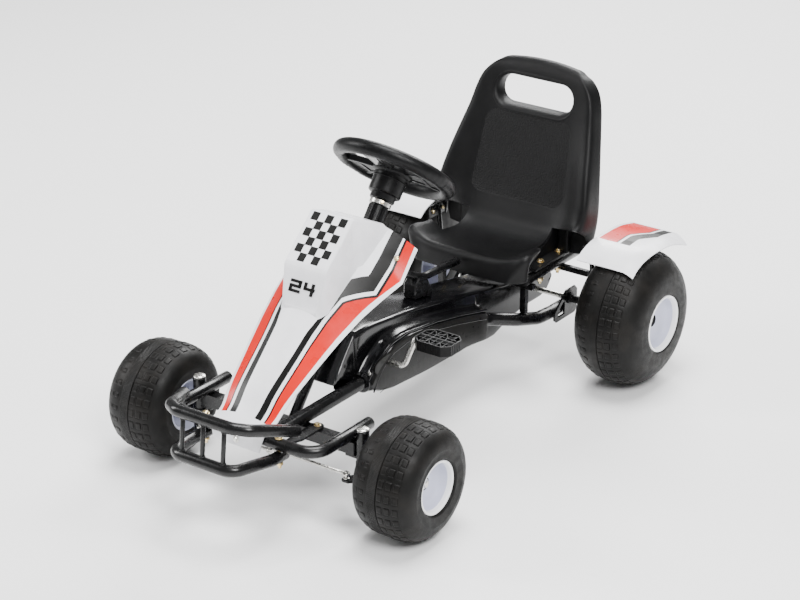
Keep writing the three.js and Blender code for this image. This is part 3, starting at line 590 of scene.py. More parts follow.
def tyre(w, centre, hand):
    """Carcass turned from its section, with the tread in its mesh. hand -1 swaps its sides."""
    top = 1.1
    outer_r = w["radius"] - top
    angles = np.radians(np.linspace(-80, 80, 115))
    xs = np.sign(angles) * np.abs(np.sin(angles)) ** (2 / w["fullness"]) * (w["half"] - 0.6)
    rs = outer_r * (0.5 + 0.5 * np.cos(angles) ** (2 / w["fullness"]))
    middle = np.abs(xs) < 12
    rs = np.where(middle, outer_r - (xs / 12) ** 2 * 0.25, rs)
    total = np.concatenate([[0], np.cumsum(np.hypot(np.diff(xs), np.diff(rs)))])
    crown = float(np.interp(0, xs, total))
    marks = tread_marks(total[-1], crown)
    xs, rs = np.interp(marks, total, xs), np.interp(marks, total, rs)
    arcs = marks - crown
    steps = w["pitches"] * 16
    turn = np.arange(steps) / 16
    around = (turn % 1.0 - 0.5) * tau * w["radius"] / w["pitches"]
    bead = [(w["rim"] + 7, w["lip"] + 1.6), (w["rim"] + 4.2, w["lip"] + 2.6),
            (w["rim"] + 1.6, w["lip"] + 1.2), (w["rim"] + 0.35, w["lip"] - 2),
            (w["rim"] + 0.35, w["lip"] - 10), (w["rim"] + 6, w["lip"] - 14)]
    if w["lip"] + 2.6 > w["half"] - 0.5:
        bead = [(r, min(a, w["half"] - 1.0 - (0.5 if r < w["rim"] + 2 else 0))) for r, a in bead]
    loop = [(r, -a, None) for r, a in reversed(bead)] + [(r, x, a) for r, x, a in zip(rs, xs, arcs)]
    loop += [(r, a, None) for r, a in bead] + [(w["radius"] * 0.84, 0, None)]
    slope_r, slope_x = np.gradient(rs), np.gradient(xs)
    size = np.hypot(slope_r, slope_x)
    out_r, out_x = slope_x / size, -slope_r / size
    cx, cy, cz = centre
    verts, index = [], 0
    for r, x, arc in loop:
        if arc is None:
            radius, across = np.full(steps, r), np.full(steps, x)
        else:
            ring_ridge = 0.9 * exp(-((r - w["rim"] * 1.22) / 1.6) ** 2)
            lift = tread_height(arc, around, hand) + ring_ridge
            lift = np.where(np.abs(arc) > 56, ring_ridge, lift)
            radius, across = r + out_r[index] * lift, x + out_x[index] * lift
            radius = np.minimum(radius, w["radius"])
            across = np.clip(across, -w["half"] + 0.2, w["half"] - 0.2)
            index += 1
        angle = turn / w["pitches"] * tau
        ring = np.stack([cx + across, cy + radius * np.cos(angle), cz + radius * np.sin(angle)], 1)
        verts.extend(map(tuple, ring))
    return verts, rings_to_faces(len(loop), steps, closed=True)


def rim(w, centre, hub_inner):
    """Turned wheel: a painted highlight in white on the lip, painted shade in black round the hub bore, and
    the dish in a darker blue-grey painted as its shade.
    """
    lip, floor, r = w["lip"], w["floor"], w["rim"]
    bore = 5.45
    profile = [(bore, -hub_inner), (11, -hub_inner), (12, -hub_inner + 1), (13.5, floor - 4),
               (r - 12, floor - 4), (r - 4, floor - 8), (r - 3.6, -lip + 2), (r - 2, -lip),
               (r - 0.2, -lip + 0.8), (r, -lip + 3), (r, lip - 3), (r - 0.3, lip - 0.9),
               (r - 1.4, lip - 0.2), (r - 3.2, lip - 0.3), (r - 4.3, lip - 1.2), (r - 5.4, lip - 4),
               (r - 6.2, lip - 9), (r - 8.0, floor + 6), (r - 11, floor + 2.2), (r - 15, floor + 0.9),
               (16, floor + 0.4), (13.5, floor + 0.9), (11, floor + 0.2), (10.2, floor - 2),
               (bore, floor - 2.2)]
    verts, faces = turned(profile, centre, X, 96, closed=True)
    # The lip rings carry a painted highlight and the hub rings painted shade in black plastic; every other
    # face takes the dish's blue-grey, also painted shade.
    bright, shadowed = range(9, 16), range(22, 25)
    looks = [1 if i // 96 in bright else 2 if i // 96 in shadowed else 0 for i in range(len(faces))]
    return verts, faces, looks


def wheels():
    for place, w in TREAD.items():
        y = 0 if place == "front" else WHEELBASE
        centre = (WHEEL_X[place], y, w["radius"])
        look = "ribbed" if place == "front" else "rubber"
        body, bodies = ("rear_axle", None) if place == "rear" else (None, "front_wheel")
        for side, hand in (("left", 1), ("right", -1)):
            part = tyre(w, centre, hand)
            shape = Shape().add(part if side == "left" else mirror(part))
            rides = body or f"front_wheel_{side}"
            shape.dress(f"{place}_tyre_{side}", rides, "tyre_rubber", [look], 50)
        hub = 29.5 if place == "front" else 68
        # Rim looks: dish in painted shade, lip in painted highlight, hub bore in painted shade (black
        # plastic).
        both(f"{place}_rim", rim(w, centre, hub), body, "rim_plastic", ["rim", "rim_painted_highlight", "plastic"], 40,
             bodies=bodies)


# ------------------------------------------------------------------ tubular frame
MAIN_PATH = [(50, -96, 154), (50, 440, 154), (57, 525, 136), (86, 582, 122), (98.5, 630, 111),
             (100, 674, 108), (100, 745, 108)]


def frame_tubes():
    """Main tubes, front bar, axle beam, bumper and bumper bolts."""
    both("main_tube", tube(MAIN_PATH, 12, 60, 28), "chassis", "frame_paint", ["paint"])

    bar = Shape()
    z = 152.5
    bar.add(tube([(-148, 41, z), (-148, -107, z), (148, -107, z), (148, 41, z)], 10.5, 34, 28))
    for s in (1, -1):
        foot = [(s * 66, -106), (s * 66, -7)]
        foot += [(s * (77 - 11 * cos(a)),
                  -7 + 11 * sin(a)) for a in np.linspace(0.2, pi - 0.2, 9)]
        foot += [(s * 88, -7), (s * 88, -60), (s * 80, -82), (s * 80, -106)]
        bar.add(prism(foot, 141.8, 145.8, Z, 0.7))
        bar.add(drum((s * 77, -7, 0), Z, 6.2, 145.8, 146.9, 0.4), 1)
        bar.add(hexagon((s * 77, -7, 0), Z, 5, 146.9, 150.4), 1)
        bar.add(drum((s * 148, 0, z), Y, 9.4, 40.6, 41.0, 0.2), 2)
    bar.dress("front_bar", "chassis", "frame_paint", ["paint", "gold", "plastic"])

    beam = Shape()
    beam.add(prism([(-18.5, 119.5), (1.5, 119.5), (1.5, 141.5), (-18.5, 141.5)], -160, 160, X, 1.6))
    for s in (1, -1):
        sleeve = ring_profile(6.4, 11, 109.5, 165, 1.2, 1.2)
        beam.add(turned(sleeve, (s * KINGPIN[0], KINGPIN[1], 0), Z, 36, closed=True))
        gusset = [(s * 140, -16), (s * 162, -16), (s * 162, -1), (s * 140, -1)]
        beam.add(prism(gusset, 113, 119.4, Z, 1.4))
    beam.dress("axle_beam", "chassis", "frame_paint", ["paint"])

    bumper = Shape()
    upper = [(-118, -110, 190), (-80, -188, 210.5), (-56, -202, 213), (56, -202, 213), (80, -188, 210.5),
             (118, -110, 190)]
    lower = [(-76, -92, 130.6), (-76, -124, 131), (-71, -162, 136), (-60, -209, 139), (60, -209, 139),
             (71, -162, 136), (76, -124, 131), (76, -92, 130.6)]
    bumper.add(tube(upper, 10.3, 24, 28)).add(tube(lower, 10.3, 24, 28))
    for x in (-42, 0, 42):
        bumper.add(tube([(x, -202, 212), (x, -209, 140)], 4, 1, 20))
        for y, zz, drop in ((-202.9, 203, -2.4), (-208.1, 149, 2.4)):
            bead = [(3.8, -2), (5.2, -1), (5.4, 0), (4.8, 1.4), (3.8, 2.4)]
            bumper.add(turned([(0.1, -2)] + bead + [(0.1, 2.4)], (x, y, zz), (0, drop * 0.04, -drop), 20))
    for s in (1, -1):
        end = Vector((s * 118, -110, 190))
        out = (end - Vector((s * 80, -188, 210.5))).normalized()
        bumper.add(drum(end, out, 9.3, -1, 0.25, 0.2), 1)
    bumper.dress("front_bumper", "chassis", "frame_paint", ["paint", "plastic"])

    bolt = Shape()
    bolt.add(drum((76, -107, 0), Z, 3, 110, 166)).add(drum((76, -107, 0), Z, 7, 163.4, 164.5, 0.3))
    bolt.add(turned([(0.1, 164.5), (5.6, 164.5), (5.6, 165.4), (4.6, 167), (2.6, 167.8), (0.1, 168)],
                    (76, -107, 0), Z, 24))
    bolt.add(hexagon((76, -107, 0), Z, 5.8, 114.6, 119.4)).add(drum((76, -107, 0), Z, 6, 119.2, 120.1, 0.3))
    both("bumper_bolt", bolt.part, "chassis", "gold_zinc", ["gold"])


def seat_frame():
    """Rails with their plugs, seat bolts and the two crossbars."""
    rail = tube([(RAIL_X, 581, RAIL_Z), (RAIL_X, 760, RAIL_Z)], 9.5, 1, 28, 0.8)
    both("seat_rail", rail, "chassis", "frame_paint", ["paint"])
    plug = [(0.1, 577.3), (7.4, 577.3), (9.0, 578.4), (9.45, 580.2), (9.45, 580.6), (0.1, 580.6)]
    both("rail_plug", turned(plug, (RAIL_X, 0, RAIL_Z), Y, 28), "chassis", "black_plastic", ["plastic"])
    for where, y in (("front", 631), ("rear", 691)):
        bolt = Shape()
        bolt.add(drum((RAIL_X, y, 0), Z, 3, 180.2, 225, 0.5)).add(drum((RAIL_X, y, 0), Z, 7, 222.8, 223.9,
                                                                       0.3))
        bolt.add(hexagon((RAIL_X, y, 0), Z, 5.6, 223.8, 227.5))
        bolt.add(hexagon((RAIL_X, y, 0), Z, 5.6, 184.5, 190.4)).add(drum((RAIL_X, y, 0), Z, 6.6, 190.3,
                                                                         191.6, 0.3))
        both(f"seat_bolt_{where}", bolt.part, "chassis", "gold_zinc", ["gold"])
    front = Shape().add(box(-110, 110, 590, 601, 181, 192, 1.4))
    for x0, x1 in ((84, 95), (-95, -84)):
        front.add(box(x0, x1, 590, 601, 132, 182, 1.2))
    front.dress("seat_crossbar_front", "chassis", "frame_paint", ["paint"])
    rear = Shape().add(box(-157, 157, 702, 713, 181, 192, 1.4))
    rear.dress("seat_crossbar_rear", "chassis", "frame_paint", ["paint"])


# ------------------------------------------------------------------ chain case and drive
def case_section(y):
    """Half section of the case at a station along the kart, from the seam at the top round to the bottom."""
    top = np.interp(y, [90, 150, 175, 200, 318, 450, 615, 733, 757, 766],
                    [169, 242.4, 243, 242, 228, 203, 172, 168, 158, 137])
    low = np.interp(y, [90, 150, 190, 250, 350, 450, 550, 574, 622, 679, 735, 757, 766],
                    [167, 135, 118, 100, 95, 93, 80, 80, 94, 102, 102, 112, 133])
    f_top = np.interp(y, [150, 162, 180, 215, 260, 350, 430, 510], [162, 176, 191, 210, 214, 202, 186, 165])
    f_low = np.interp(y, [147, 162, 217, 314, 408, 455, 510], [144, 133, 122, 115, 113, 112, 103])
    wide = float(np.clip((y - 147.2) / 6, 0, 1) * np.clip((510 - y) / 5, 0, 1)) ** 0.5
    narrow = 37.5 if y < 149 else 42.0
    k = min(1.0, (top - low) / 42)
    f_top, f_low = min(f_top, top - 16 * k), max(f_low, low + 8 * k)
    side = lambda dx: narrow + (72 - narrow) * dx * wide
    points = [(0.25, top), (narrow - 9, top), (narrow - 5.5, top - 0.5 * k), (narrow - 2.2, top - 2.2 * k),
              (narrow - 0.5, top - 5 * k), (narrow, top - 9 * k), (side(0.03), f_top + 4 * k),
              (side(0.12), f_top + 1 * k), (side(0.3), f_top - 0.5 * k), (side(0.52), f_top - 1.5 * k),
              (side(0.6), f_top - 4.5 * k), (side(0.78), f_top - 5.5 * k), (side(0.92), f_top - 8 * k),
              (side(1), f_top - 13 * k), (side(1), f_low + 9 * k), (side(0.96), f_low + 4 * k),
              (side(0.82), f_low + 0.8 * k), (side(0.5), f_low), (side(0.03), f_low - 0.4 * k),
              (narrow, low + 7 * k), (narrow - 1.2, low + 3 * k), (narrow - 4.5, low + 0.6 * k),
              (narrow - 9, low), (0.25, low)]
    return [(x, y, z) for x, z in points]


def chain_case():
    """One moulded half with its ridges, lens panel, crank eye and screw, and its mirror."""
    stations = [90, 94, 100, 108, 118, 128, 138, 145, 147.4, 148.2, 149.5, 151.5, 154, 160, 168, 178, 190,
                204, 218, 234, 252, 275, 300, 330, 360, 390, 420, 450, 478, 498, 505.4, 507.5, 509, 509.9,
                514, 530, 548, 562, 574, 590, 606, 622, 645, 668, 690, 712, 730, 742, 752, 759, 764, 766]
    sections = [case_section(y) for y in stations]
    verts = [p for section in sections for p in section]
    width = len(sections[0])
    faces = rings_to_faces(len(sections), width)
    looks = []
    for i in range(len(sections) - 1):
        for j in range(width):
            flank = stations[i] > 153 and stations[i] < 505 and 12 <= j <= 14
            looks.append(1 if flank else 0)
    looks += [0, 0]
    half = Shape()
    half.add((verts, faces, looks))
    ridge = [(64, 150.5, 158), (66, 164, 179), (67, 182, 193), (66.5, 215, 207), (66, 260, 210),
             (66, 350, 198), (66, 430, 182), (66, 506, 163)]
    half.add(swept(bend_path(ridge, 60, 4), circle(2.6, 12)))
    arc = [(71.2, 158, 138), (71.2, 166, 152), (71.2, 183, 173), (71.2, 214, 190), (71.2, 262, 196),
           (71.2, 345, 186), (71.2, 420, 170), (71.2, 502, 149)]
    half.add(swept(bend_path(arc, 70, 4), circle(1.5, 10)))
    sweep = np.linspace(0, tau, 36, endpoint=False)
    lens = [(198 + 38 * cos(a), 177 + 17 * sin(a)) for a in sweep]
    lens = [(p[0], p[1] - (p[0] - 198) * 0.05) for p in lens]
    half.add(prism(lens, 68, 71.9, X, 0.4), 1)
    half.add(swept([(71.6, 176, 131), (71.6, 250, 143), (71.6, 340, 147), (71.6, 420, 144),
                    (71.6, 500, 133)],
                   circle(0.5, 8)), 1)
    eye = [(7.5, 68), (7.5, 71.6), (9, 71.95), (13, 71.95), (14, 71.0), (14, 68)]
    half.add(turned(eye, (0, CRANK[0], CRANK[1]), X, 36, closed=True), 1)
    half.add(drum((0, CRANK[0], CRANK[1]), X, 7.4, 66, 71.2, 0.3), 2)
    collar = [(12.2, 0), (17.5, 0), (18.5, 1.5), (18, 4), (15.5, 6.5), (12.2, 6.5)]
    half.add(turned([(r, 153 - a) for r, a in collar], (50, 0, 154), Y, 36, closed=True))
    half.add(drum((66.5, 149.6, 176), (0, -1, 0.2), 3.6, -2, 0.9, 0.6), 3)
    spine_ridges = [[(30, 156, 241.8), (30, 200, 241.4), (30, 318, 227.4), (30, 450, 202.4),
                     (30, 610, 172.4)],
                    [(41.4, 158, 226), (41.4, 205, 230), (41.4, 318, 219), (41.4, 450, 194),
                     (41.4, 600, 166)]]
    for line in spine_ridges:
        half.add(swept(bend_path(line, 90, 4), circle(0.6, 8)))
    part = half.part
    both("chain_case", part, "chassis", "case_plastic", ["gloss", "case_matt", "dark", "zinc"], 32)


def drive():
    """Crank, pedals, rear axle, spacers and bushes."""
    path = [(-184, 181, 129.2), (-104, 181, 129.2), (-98, 208, 175.6), (98, 208, 175.6), (104, 235, 222),
            (184, 235, 222)]
    Shape().add(tube(path, 5, 10, 24, 0.8)).dress("crank", "crank", "bright_zinc", ["zinc"])
    for side, s, y, z in (("left", 1, 235, 222), ("right", -1, 181, 129.2)):
        pedal = Shape()
        x0, x1 = 112.2, 185.8
        h, t, c = 28.8, 9.4, 13
        rim_line = [(x0, -h + c), (x0 + c, -h), (x1 - c, -h), (x1, -h + c), (x1, h - c), (x1 - c, h),
                    (x0 + c, h), (x0, h - c)]
        loop = rim_line + rim_line[:1]
        for a, b in zip(loop, loop[1:]):
            centre = Vector(((a[0] + b[0]) / 2, (a[1] + b[1]) / 2))
            inward = (Vector((149, 0)) - centre).normalized() * 2.6
            quad = [a, b, (b[0] + inward.x, b[1] + inward.y), (a[0] + inward.x, a[1] + inward.y)]
            pedal.add(prism(quad, -t, t, Z, 0.5))
            length = (Vector(b) - Vector(a)).length
            for k in range(1, int(length / 5)):
                p = Vector(a).lerp(Vector(b), k * 5 / length)
                if min(abs(p.x - x0), abs(p.x - x1), abs(p.y - h), abs(p.y + h)) > 1.5:
                    continue
                pedal.add(prism([(p.x - 0.5, p.y - 0.5), (p.x + 0.5, p.y - 0.5), (p.x + 0.5, p.y + 0.5),
                                 (p.x - 0.5, p.y + 0.5)], -t + 0.8, t - 0.8, Z, 0.15))
        ribs = np.linspace(x0 + 14, x1 - 14, 5)
        for x in ribs:
            pedal.add(box(x - 1, x + 1, -h + 2, h - 2, -t + 1.4, t - 1.0, 0.4))
        for yy in (-10.5, 10.5):
            pedal.add(box(x0 + 2, x1 - 2, yy - 0.9, yy + 0.9, -t + 1.6, t - 1.4, 0.3))
        for k, (xa, xb) in enumerate(zip(ribs, ribs[1:])):
            for near, far in ((10.5, 27), (-10.5, -27)):
                ya, yb = (near, far) if k % 2 else (far, near)
                slant = [(xa - 0.9, ya), (xa + 0.9, ya), (xb + 0.9, yb), (xb - 0.9, yb)]
                pedal.add(prism(slant if yb > ya else slant[::-1], -t + 1.8, t - 1.7, Z, 0.2))
        sleeve = ring_profile(5.4, 8.9, x0 + 0.2, x1 - 0.2, 0.5, 0.6)
        pedal.add(turned(sleeve, (0, 0, 0), X, 28, closed=True))
        moved = [(s * v[0], v[1] + y, v[2] + z) for v in pedal.verts]
        Shape().add((moved, pedal.faces)).dress(f"pedal_{side}", f"pedal_{side}", "black_plastic",
                                                ["plastic"])
    axle = Shape().add(tube([(-286, WHEELBASE, REAR_R), (286, WHEELBASE, REAR_R)], 5, 1, 28, 0.8))
    axle.dress("rear_axle", "rear_axle", "bright_zinc", ["zinc"])
    centre = (0, WHEELBASE, REAR_R)
    spacer = ring_profile(5.4, 7.2, 124.4, 178, 0.6, 0.6)
    both("axle_spacer", turned(spacer, centre, X, 28, closed=True), "rear_axle", "black_plastic",
         ["plastic"])
    bush = [(5.4, 112.8), (7.6, 112.8), (7.8, 116.8), (10.4, 117), (10.6, 119), (7.8, 119.4), (7.4, 123.6),
            (5.4, 123.6)]
    both("axle_bush", turned(bush, centre, X, 28, closed=True), "chassis", "black_plastic", ["plastic"])


def axle_plates():
    outline = [(660, 98), (667, 92), (730, 92), (737, 99), (737, 138), (729, 146), (699, 146), (660, 112)]
    plate = Shape().add(prism(outline, 112.4, 116.4, X, 0.7))
    for side, s in (("left", 1), ("right", -1)):
        shape = Shape().add(plate.part if s == 1 else mirror(plate.part))
        obj = shape.dress(f"axle_plate_{side}", "chassis", "frame_paint", ["paint"])
        cut_out(obj, prism([(672, 101), (694, 101), (694, 126), (688, 126), (672, 112)], s * PLATE_X - 8,
                           s * PLATE_X + 8, X, 0.1))
        cut_out(obj, turned([(8.1, -8), (8.1, 8)], (s * PLATE_X, WHEELBASE, REAR_R), X, 32))


# ------------------------------------------------------------------ steering
def on_column(part):
    """Sets a part drawn about the origin, +z along the column, in its place on the kart."""
    turn = Matrix.Rotation(COLUMN_TILT, 3, "X")
    verts = [turn @ Vector(v) + COLUMN_TOP for v in part[0]]
    return (verts, part[1], *part[2:])


def steering_wheel():
    wheel = Shape()
    around, across = 132, 28
    ring_r, grip = 97.2, 13.3
    rows = []
    for i in range(around):
        a = tau * i / around
        for k in range(across):
            b = tau * k / across
            outward_part, down_part = cos(b), -sin(b)
            reach = grip
            for mid in (0.0, pi):
                gap = (a - mid + pi) % tau - pi
                if abs(gap) < 0.42:
                    finger = 0.5 - 0.5 * cos(gap * tau / 0.105)
                    under = max(0.0, 0.75 * outward_part + 0.65 * down_part)
                    fade = min(1.0, (0.42 - abs(gap)) / 0.06)
                    reach -= 1.9 * finger * under * fade
            rows.append(((ring_r + reach * outward_part) * cos(a),
                         (ring_r + reach * outward_part) * sin(a),
                         reach * sin(b)))
    wheel.add((rows, rings_to_faces(around, across, closed=True)))
    for s in (1, -1):
        web = [(s * 18, -14), (s * 60, -19), (s * 90, -18), (s * 87, 20), (s * 76, 44), (s * 60, 30),
               (s * 22, 19)]
        wheel.add(prism(web, -6.5, 0.5, Z, 0.8))
        bars = [[(s * 20, -11), (s * 60, -17), (s * 92, -15)], [(s * 22, 15), (s * 58, 27), (s * 80, 46)],
                [(s * 64, -16), (s * 61, 29)]]
        for line in bars:
            route = [Vector((x, y, -2.5)) for x, y in line]
            wheel.add(swept(bend_path(route, 14, 4), [(-5.6, -3.2), (-4.6, -4.4), (4.6, -4.4), (5.6, -3.2),
                                                     (5.6, 3.2), (4.6, 4.4), (-4.6, 4.4), (-5.6, 3.2)], Z))
    wheel.add(prism([(-20, 0), (-17, -58), (-21, -92), (21, -92), (17, -58), (20, 0)], -9, 3.6, Z, 2.4))
    wheel.add(prism([(-11, -40), (-9, -62), (-12, -80), (12, -80), (9, -62), (11, -40)],
                    -9.9, -4, Z, 0.8), 1)
    hub = [(0.1, 10.5), (16, 10.2), (27, 8.2), (33.5, 4.5), (36, 0), (36, -8), (34.5, -11), (30.2, -13.5),
           (29, -17), (29, -44), (28.4, -46.6), (26, -48), (22.8, -48.6), (22, -50), (22, -56.8),
           (21, -58.3), (9.6, -58.3), (9.6, -14), (0.1, -14)]
    wheel.add(turned(hub, (0, 0, 0), Z, 64))
    wheel.add(turned([(29.4, -19), (30, -19.6), (30, -21.4), (29.4, -22), (27, -22), (27, -19)], (0, 0, 0),
                     Z, 64, closed=True))
    part = on_column(wheel.part)
    Shape().add(part).dress("steering_wheel", "steering", "black_plastic", ["grip", "gloss"])


def column():
    post = Shape()
    post.add(on_column(drum((0, 0, 0), Z, 9, -484, -14.5, 1.0, 36)))
    post.add(tube([(0, 17, 108.5), (0, -20, 101.5), (0, -33.5, 101.5)], 4.5, 20, 20))
    post.add(drum((0, STUD_Y, 0), Z, 2, 78.6, 101, 0.3)).add(hexagon((0, STUD_Y, 0), Z, 5.9, 78.6, 81.4))
    post.dress("steering_column", "steering", "dark_steel", ["paint"])
    ribs = lambda r, along, a: r if r < 12 or cos(a * 22) > 0.1 else r - 0.9
    sleeve = [(9.5, -150), (16, -150), (17.4, -149), (17.4, -70), (16.6, -69.1), (9.5, -69.1)]
    Shape().add(on_column(turned(sleeve, (0, 0, 0), Z, 220, True,
                                 ribs))).dress("column_sleeve", "steering", "black_plastic", ["plastic"], 25)
    collar = Shape()
    ring = ring_profile(9.6, 19.4, -67.9, -60.5, 0.8, 0.8)
    collar.add(turned(ring, (0, 0, 0), Z, 56, closed=True))
    a = radians(40)
    out = Vector((sin(a), -cos(a), 0))
    collar.add(drum(Vector((0, 0, -64)), out, 3.4, 17, 20.6, 0.4), 1)
    collar.add(hexagon(Vector((0, 0, -64)), out, 3.1, 20.4, 22.8), 1)
    Shape().add(on_column(collar.part)).dress("column_collar", "steering", "gold_zinc", ["zinc", "gold"])
    support = Shape()
    ring = ring_profile(9.9, 15, -181.8, -160.2, 1, 0.8)
    support.add(on_column(turned(ring, (0, 0, 0), Z, 40, closed=True)))
    support.add(tube([(0, 222, 332), (0, 400, 247), (0, 512, 240)], 7, 60, 24))
    support.add(prism([(362, 221), (416, 211), (416, 222), (402, 246), (376, 257), (362, 246)],
                      -13, 13, X, 2))
    support.dress("column_support", "chassis", "frame_paint", ["paint"])


def knuckles():
    part = Shape()
    part.add(drum(KINGPIN, Z, 12, 76, 109, 1.2, 36), 1).add(drum(KINGPIN, Z, 6, 108, 166, 0.6), 1)
    cap = [(0.1, 165.4), (10.4, 165.4), (10.75, 166), (10.6, 167.2), (9.2, 168.5), (6.5, 169.3),
           (0.1, 169.5)]
    part.add(turned(cap, KINGPIN, Z, 36))
    part.add(drum((0, 0, 100), X, 7.5, 173, 225, 1.0), 1)
    part.add(drum((0, 0, 100), X, 5, 173, 287, 0.5))
    part.add(drum((0, 0, 100), X, 8.3, 286.4, 287.6, 0.3, 24))
    part.add(turned([(0.1, 287), (6.6, 287), (6.9, 288.4), (6.0, 290.4), (3.8, 291.4), (0.1, 291.6)],
                    (0, 0, 100), X, 24))
    part.add(prism([(162, -1), (146, -27), (146, -35), (150, -37.5), (160, -37), (181, -14)],
                   76, 82, Z, 1.2), 1)
    part.add(drum((TIE_EYE_X, STUD_Y, 0), Z, 2.5, 78, 95, 0.5))
    part.add(drum((TIE_EYE_X, STUD_Y, 0), Z, 5.2, 81.8, 83.2, 0.3))
    for side in ("left", "right"):
        whole = part.part
        shape = Shape().add(whole if side == "left" else mirror(whole))
        shape.dress(f"knuckle_{side}", f"knuckle_{side}", "dark_steel", ["zinc", "paint"])
    for side, s, z in (("left", 1, 90), ("right", -1, 86)):
        rod = Shape()
        inner = ring_profile(6.5, 9.1, z - 1.7, z + 1.7, 0.4, 0.5)
        outer = ring_profile(3.2, 6.5, z - 1.7, z + 1.7, 0.4, 0.5)
        rod.add(turned(inner, (0, STUD_Y, 0), Z, 32, closed=True))
        rod.add(turned(outer, (s * TIE_EYE_X, STUD_Y, 0), Z, 32, closed=True))
        a, b = sorted((s * 8.0, s * 16))
        rod.add(box(a, b, -34.6, -27.4, z - 1.6, z + 1.6, 0.5))
        rod.add(tube([(s * 12, STUD_Y, z), (s * 147.5, STUD_Y, z)], 3, 1, 20, 0.6))
        rod.dress(f"tie_rod_{side}", f"tie_rod_{side}", "dark_steel", ["zinc"])


# ------------------------------------------------------------------ fairing
# y, centre height, flat half-width, body height, edge half-width, edge height
FAIRING_ROWS = [
    (-123, 134, 10, 134, 47, 134), (-122, 150, 10.5, 150, 51, 150), (-120.5, 165, 11, 165, 55, 164),
    (-90, 187, 11.5, 187, 57, 175), (-60, 218, 13, 218, 62.5, 203), (0, 268, 18, 268, 73.9, 245),
    (48, 311, 30, 311, 82.9, 276), (51, 316, 33, 314, 83.5, 277.6), (64, 380, 41, 323, 85.8, 285),
    (67, 385.4, 41.6, 325, 86.3, 286.6), (100, 415, 42.5, 345, 92.9, 304.5),
    (138.5, 449.7, 43.4, 369, 100.1, 320.1),
    (143, 449.9, 43.6, 372, 101.0, 321.8), (186, 433.6, 44.6, 395, 109, 337), (228, 415, 45, 415, 110, 385),
]
FAIRING_CORNERS = (2, 6, 7, 8, 9, 11, 12, 13)
# Stripe borders as (y, x) runs from front to back: black band, thin line, red band
STRIPES = [
    [(-125, 17), (-72, 22), (-9, 28), (51, 33), (118.5, 40), (150, 67), (223.5, 60)],
    [(-125, 30), (-69, 34), (-19, 37.5), (27, 41), (96, 52), (139.5, 85), (228, 81)],
    [(-125, 36), (-55.5, 41), (13.5, 46), (91.5, 56), (138, 90), (228, 85)],
    [(-125, 38.5), (-55.5, 43.5), (13.5, 48.5), (91.5, 59.5), (138, 93.5), (228, 88.5)],
    [(-125, 46), (-90, 50.5), (-60, 57), (24, 72), (120, 90), (186, 105), (228, 104)],
]
# Strokes (x0, x1, z0, z1) of a blocky race number, each digit with its left edge
DIGITS = [
    (-28, [(0, 23, 0, 5), (0, 6, 0, 13.5), (0, 23, 8.5, 13.5), (17, 23, 8.5, 22), (0, 23, 17, 22)]),
    (0, [(0, 6, 8.5, 22), (0, 23, 8.5, 13.5), (15, 21, 0, 22)]),
]


def fairing_half_row(y, top, flat, body, edge_x, edge_z):
    crown = lambda x: edge_z + (body - edge_z) * (1 - (x / edge_x) ** 2)
    raised = top - body
    high = lambda x: top if raised > 1 else crown(x)
    foot = flat + 6.5 if y < 64 or y > 150 else 46.5
    flat = min(flat, foot - 4)
    marks = [max(float(np.interp(y, *zip(*line))), foot + 0.5 + i * 0.5) for i, line in enumerate(STRIPES)]
    points = [(0, top), (flat * 0.5, high(flat * 0.5)), (flat - 2.5, high(flat - 2.5)),
              (flat, high(flat) - min(max(raised, 0), 2.5) * 0.4),
              (flat + 1.2, max(crown(flat), high(flat) - 3.5 * (raised > 1))), (foot, crown(foot))]
    points += [(x, crown(x)) for x in marks]
    points += [((marks[-1] + edge_x) / 2, crown((marks[-1] + edge_x) / 2)), (edge_x, edge_z)]
    return [(x, y, z) for x, z in points]


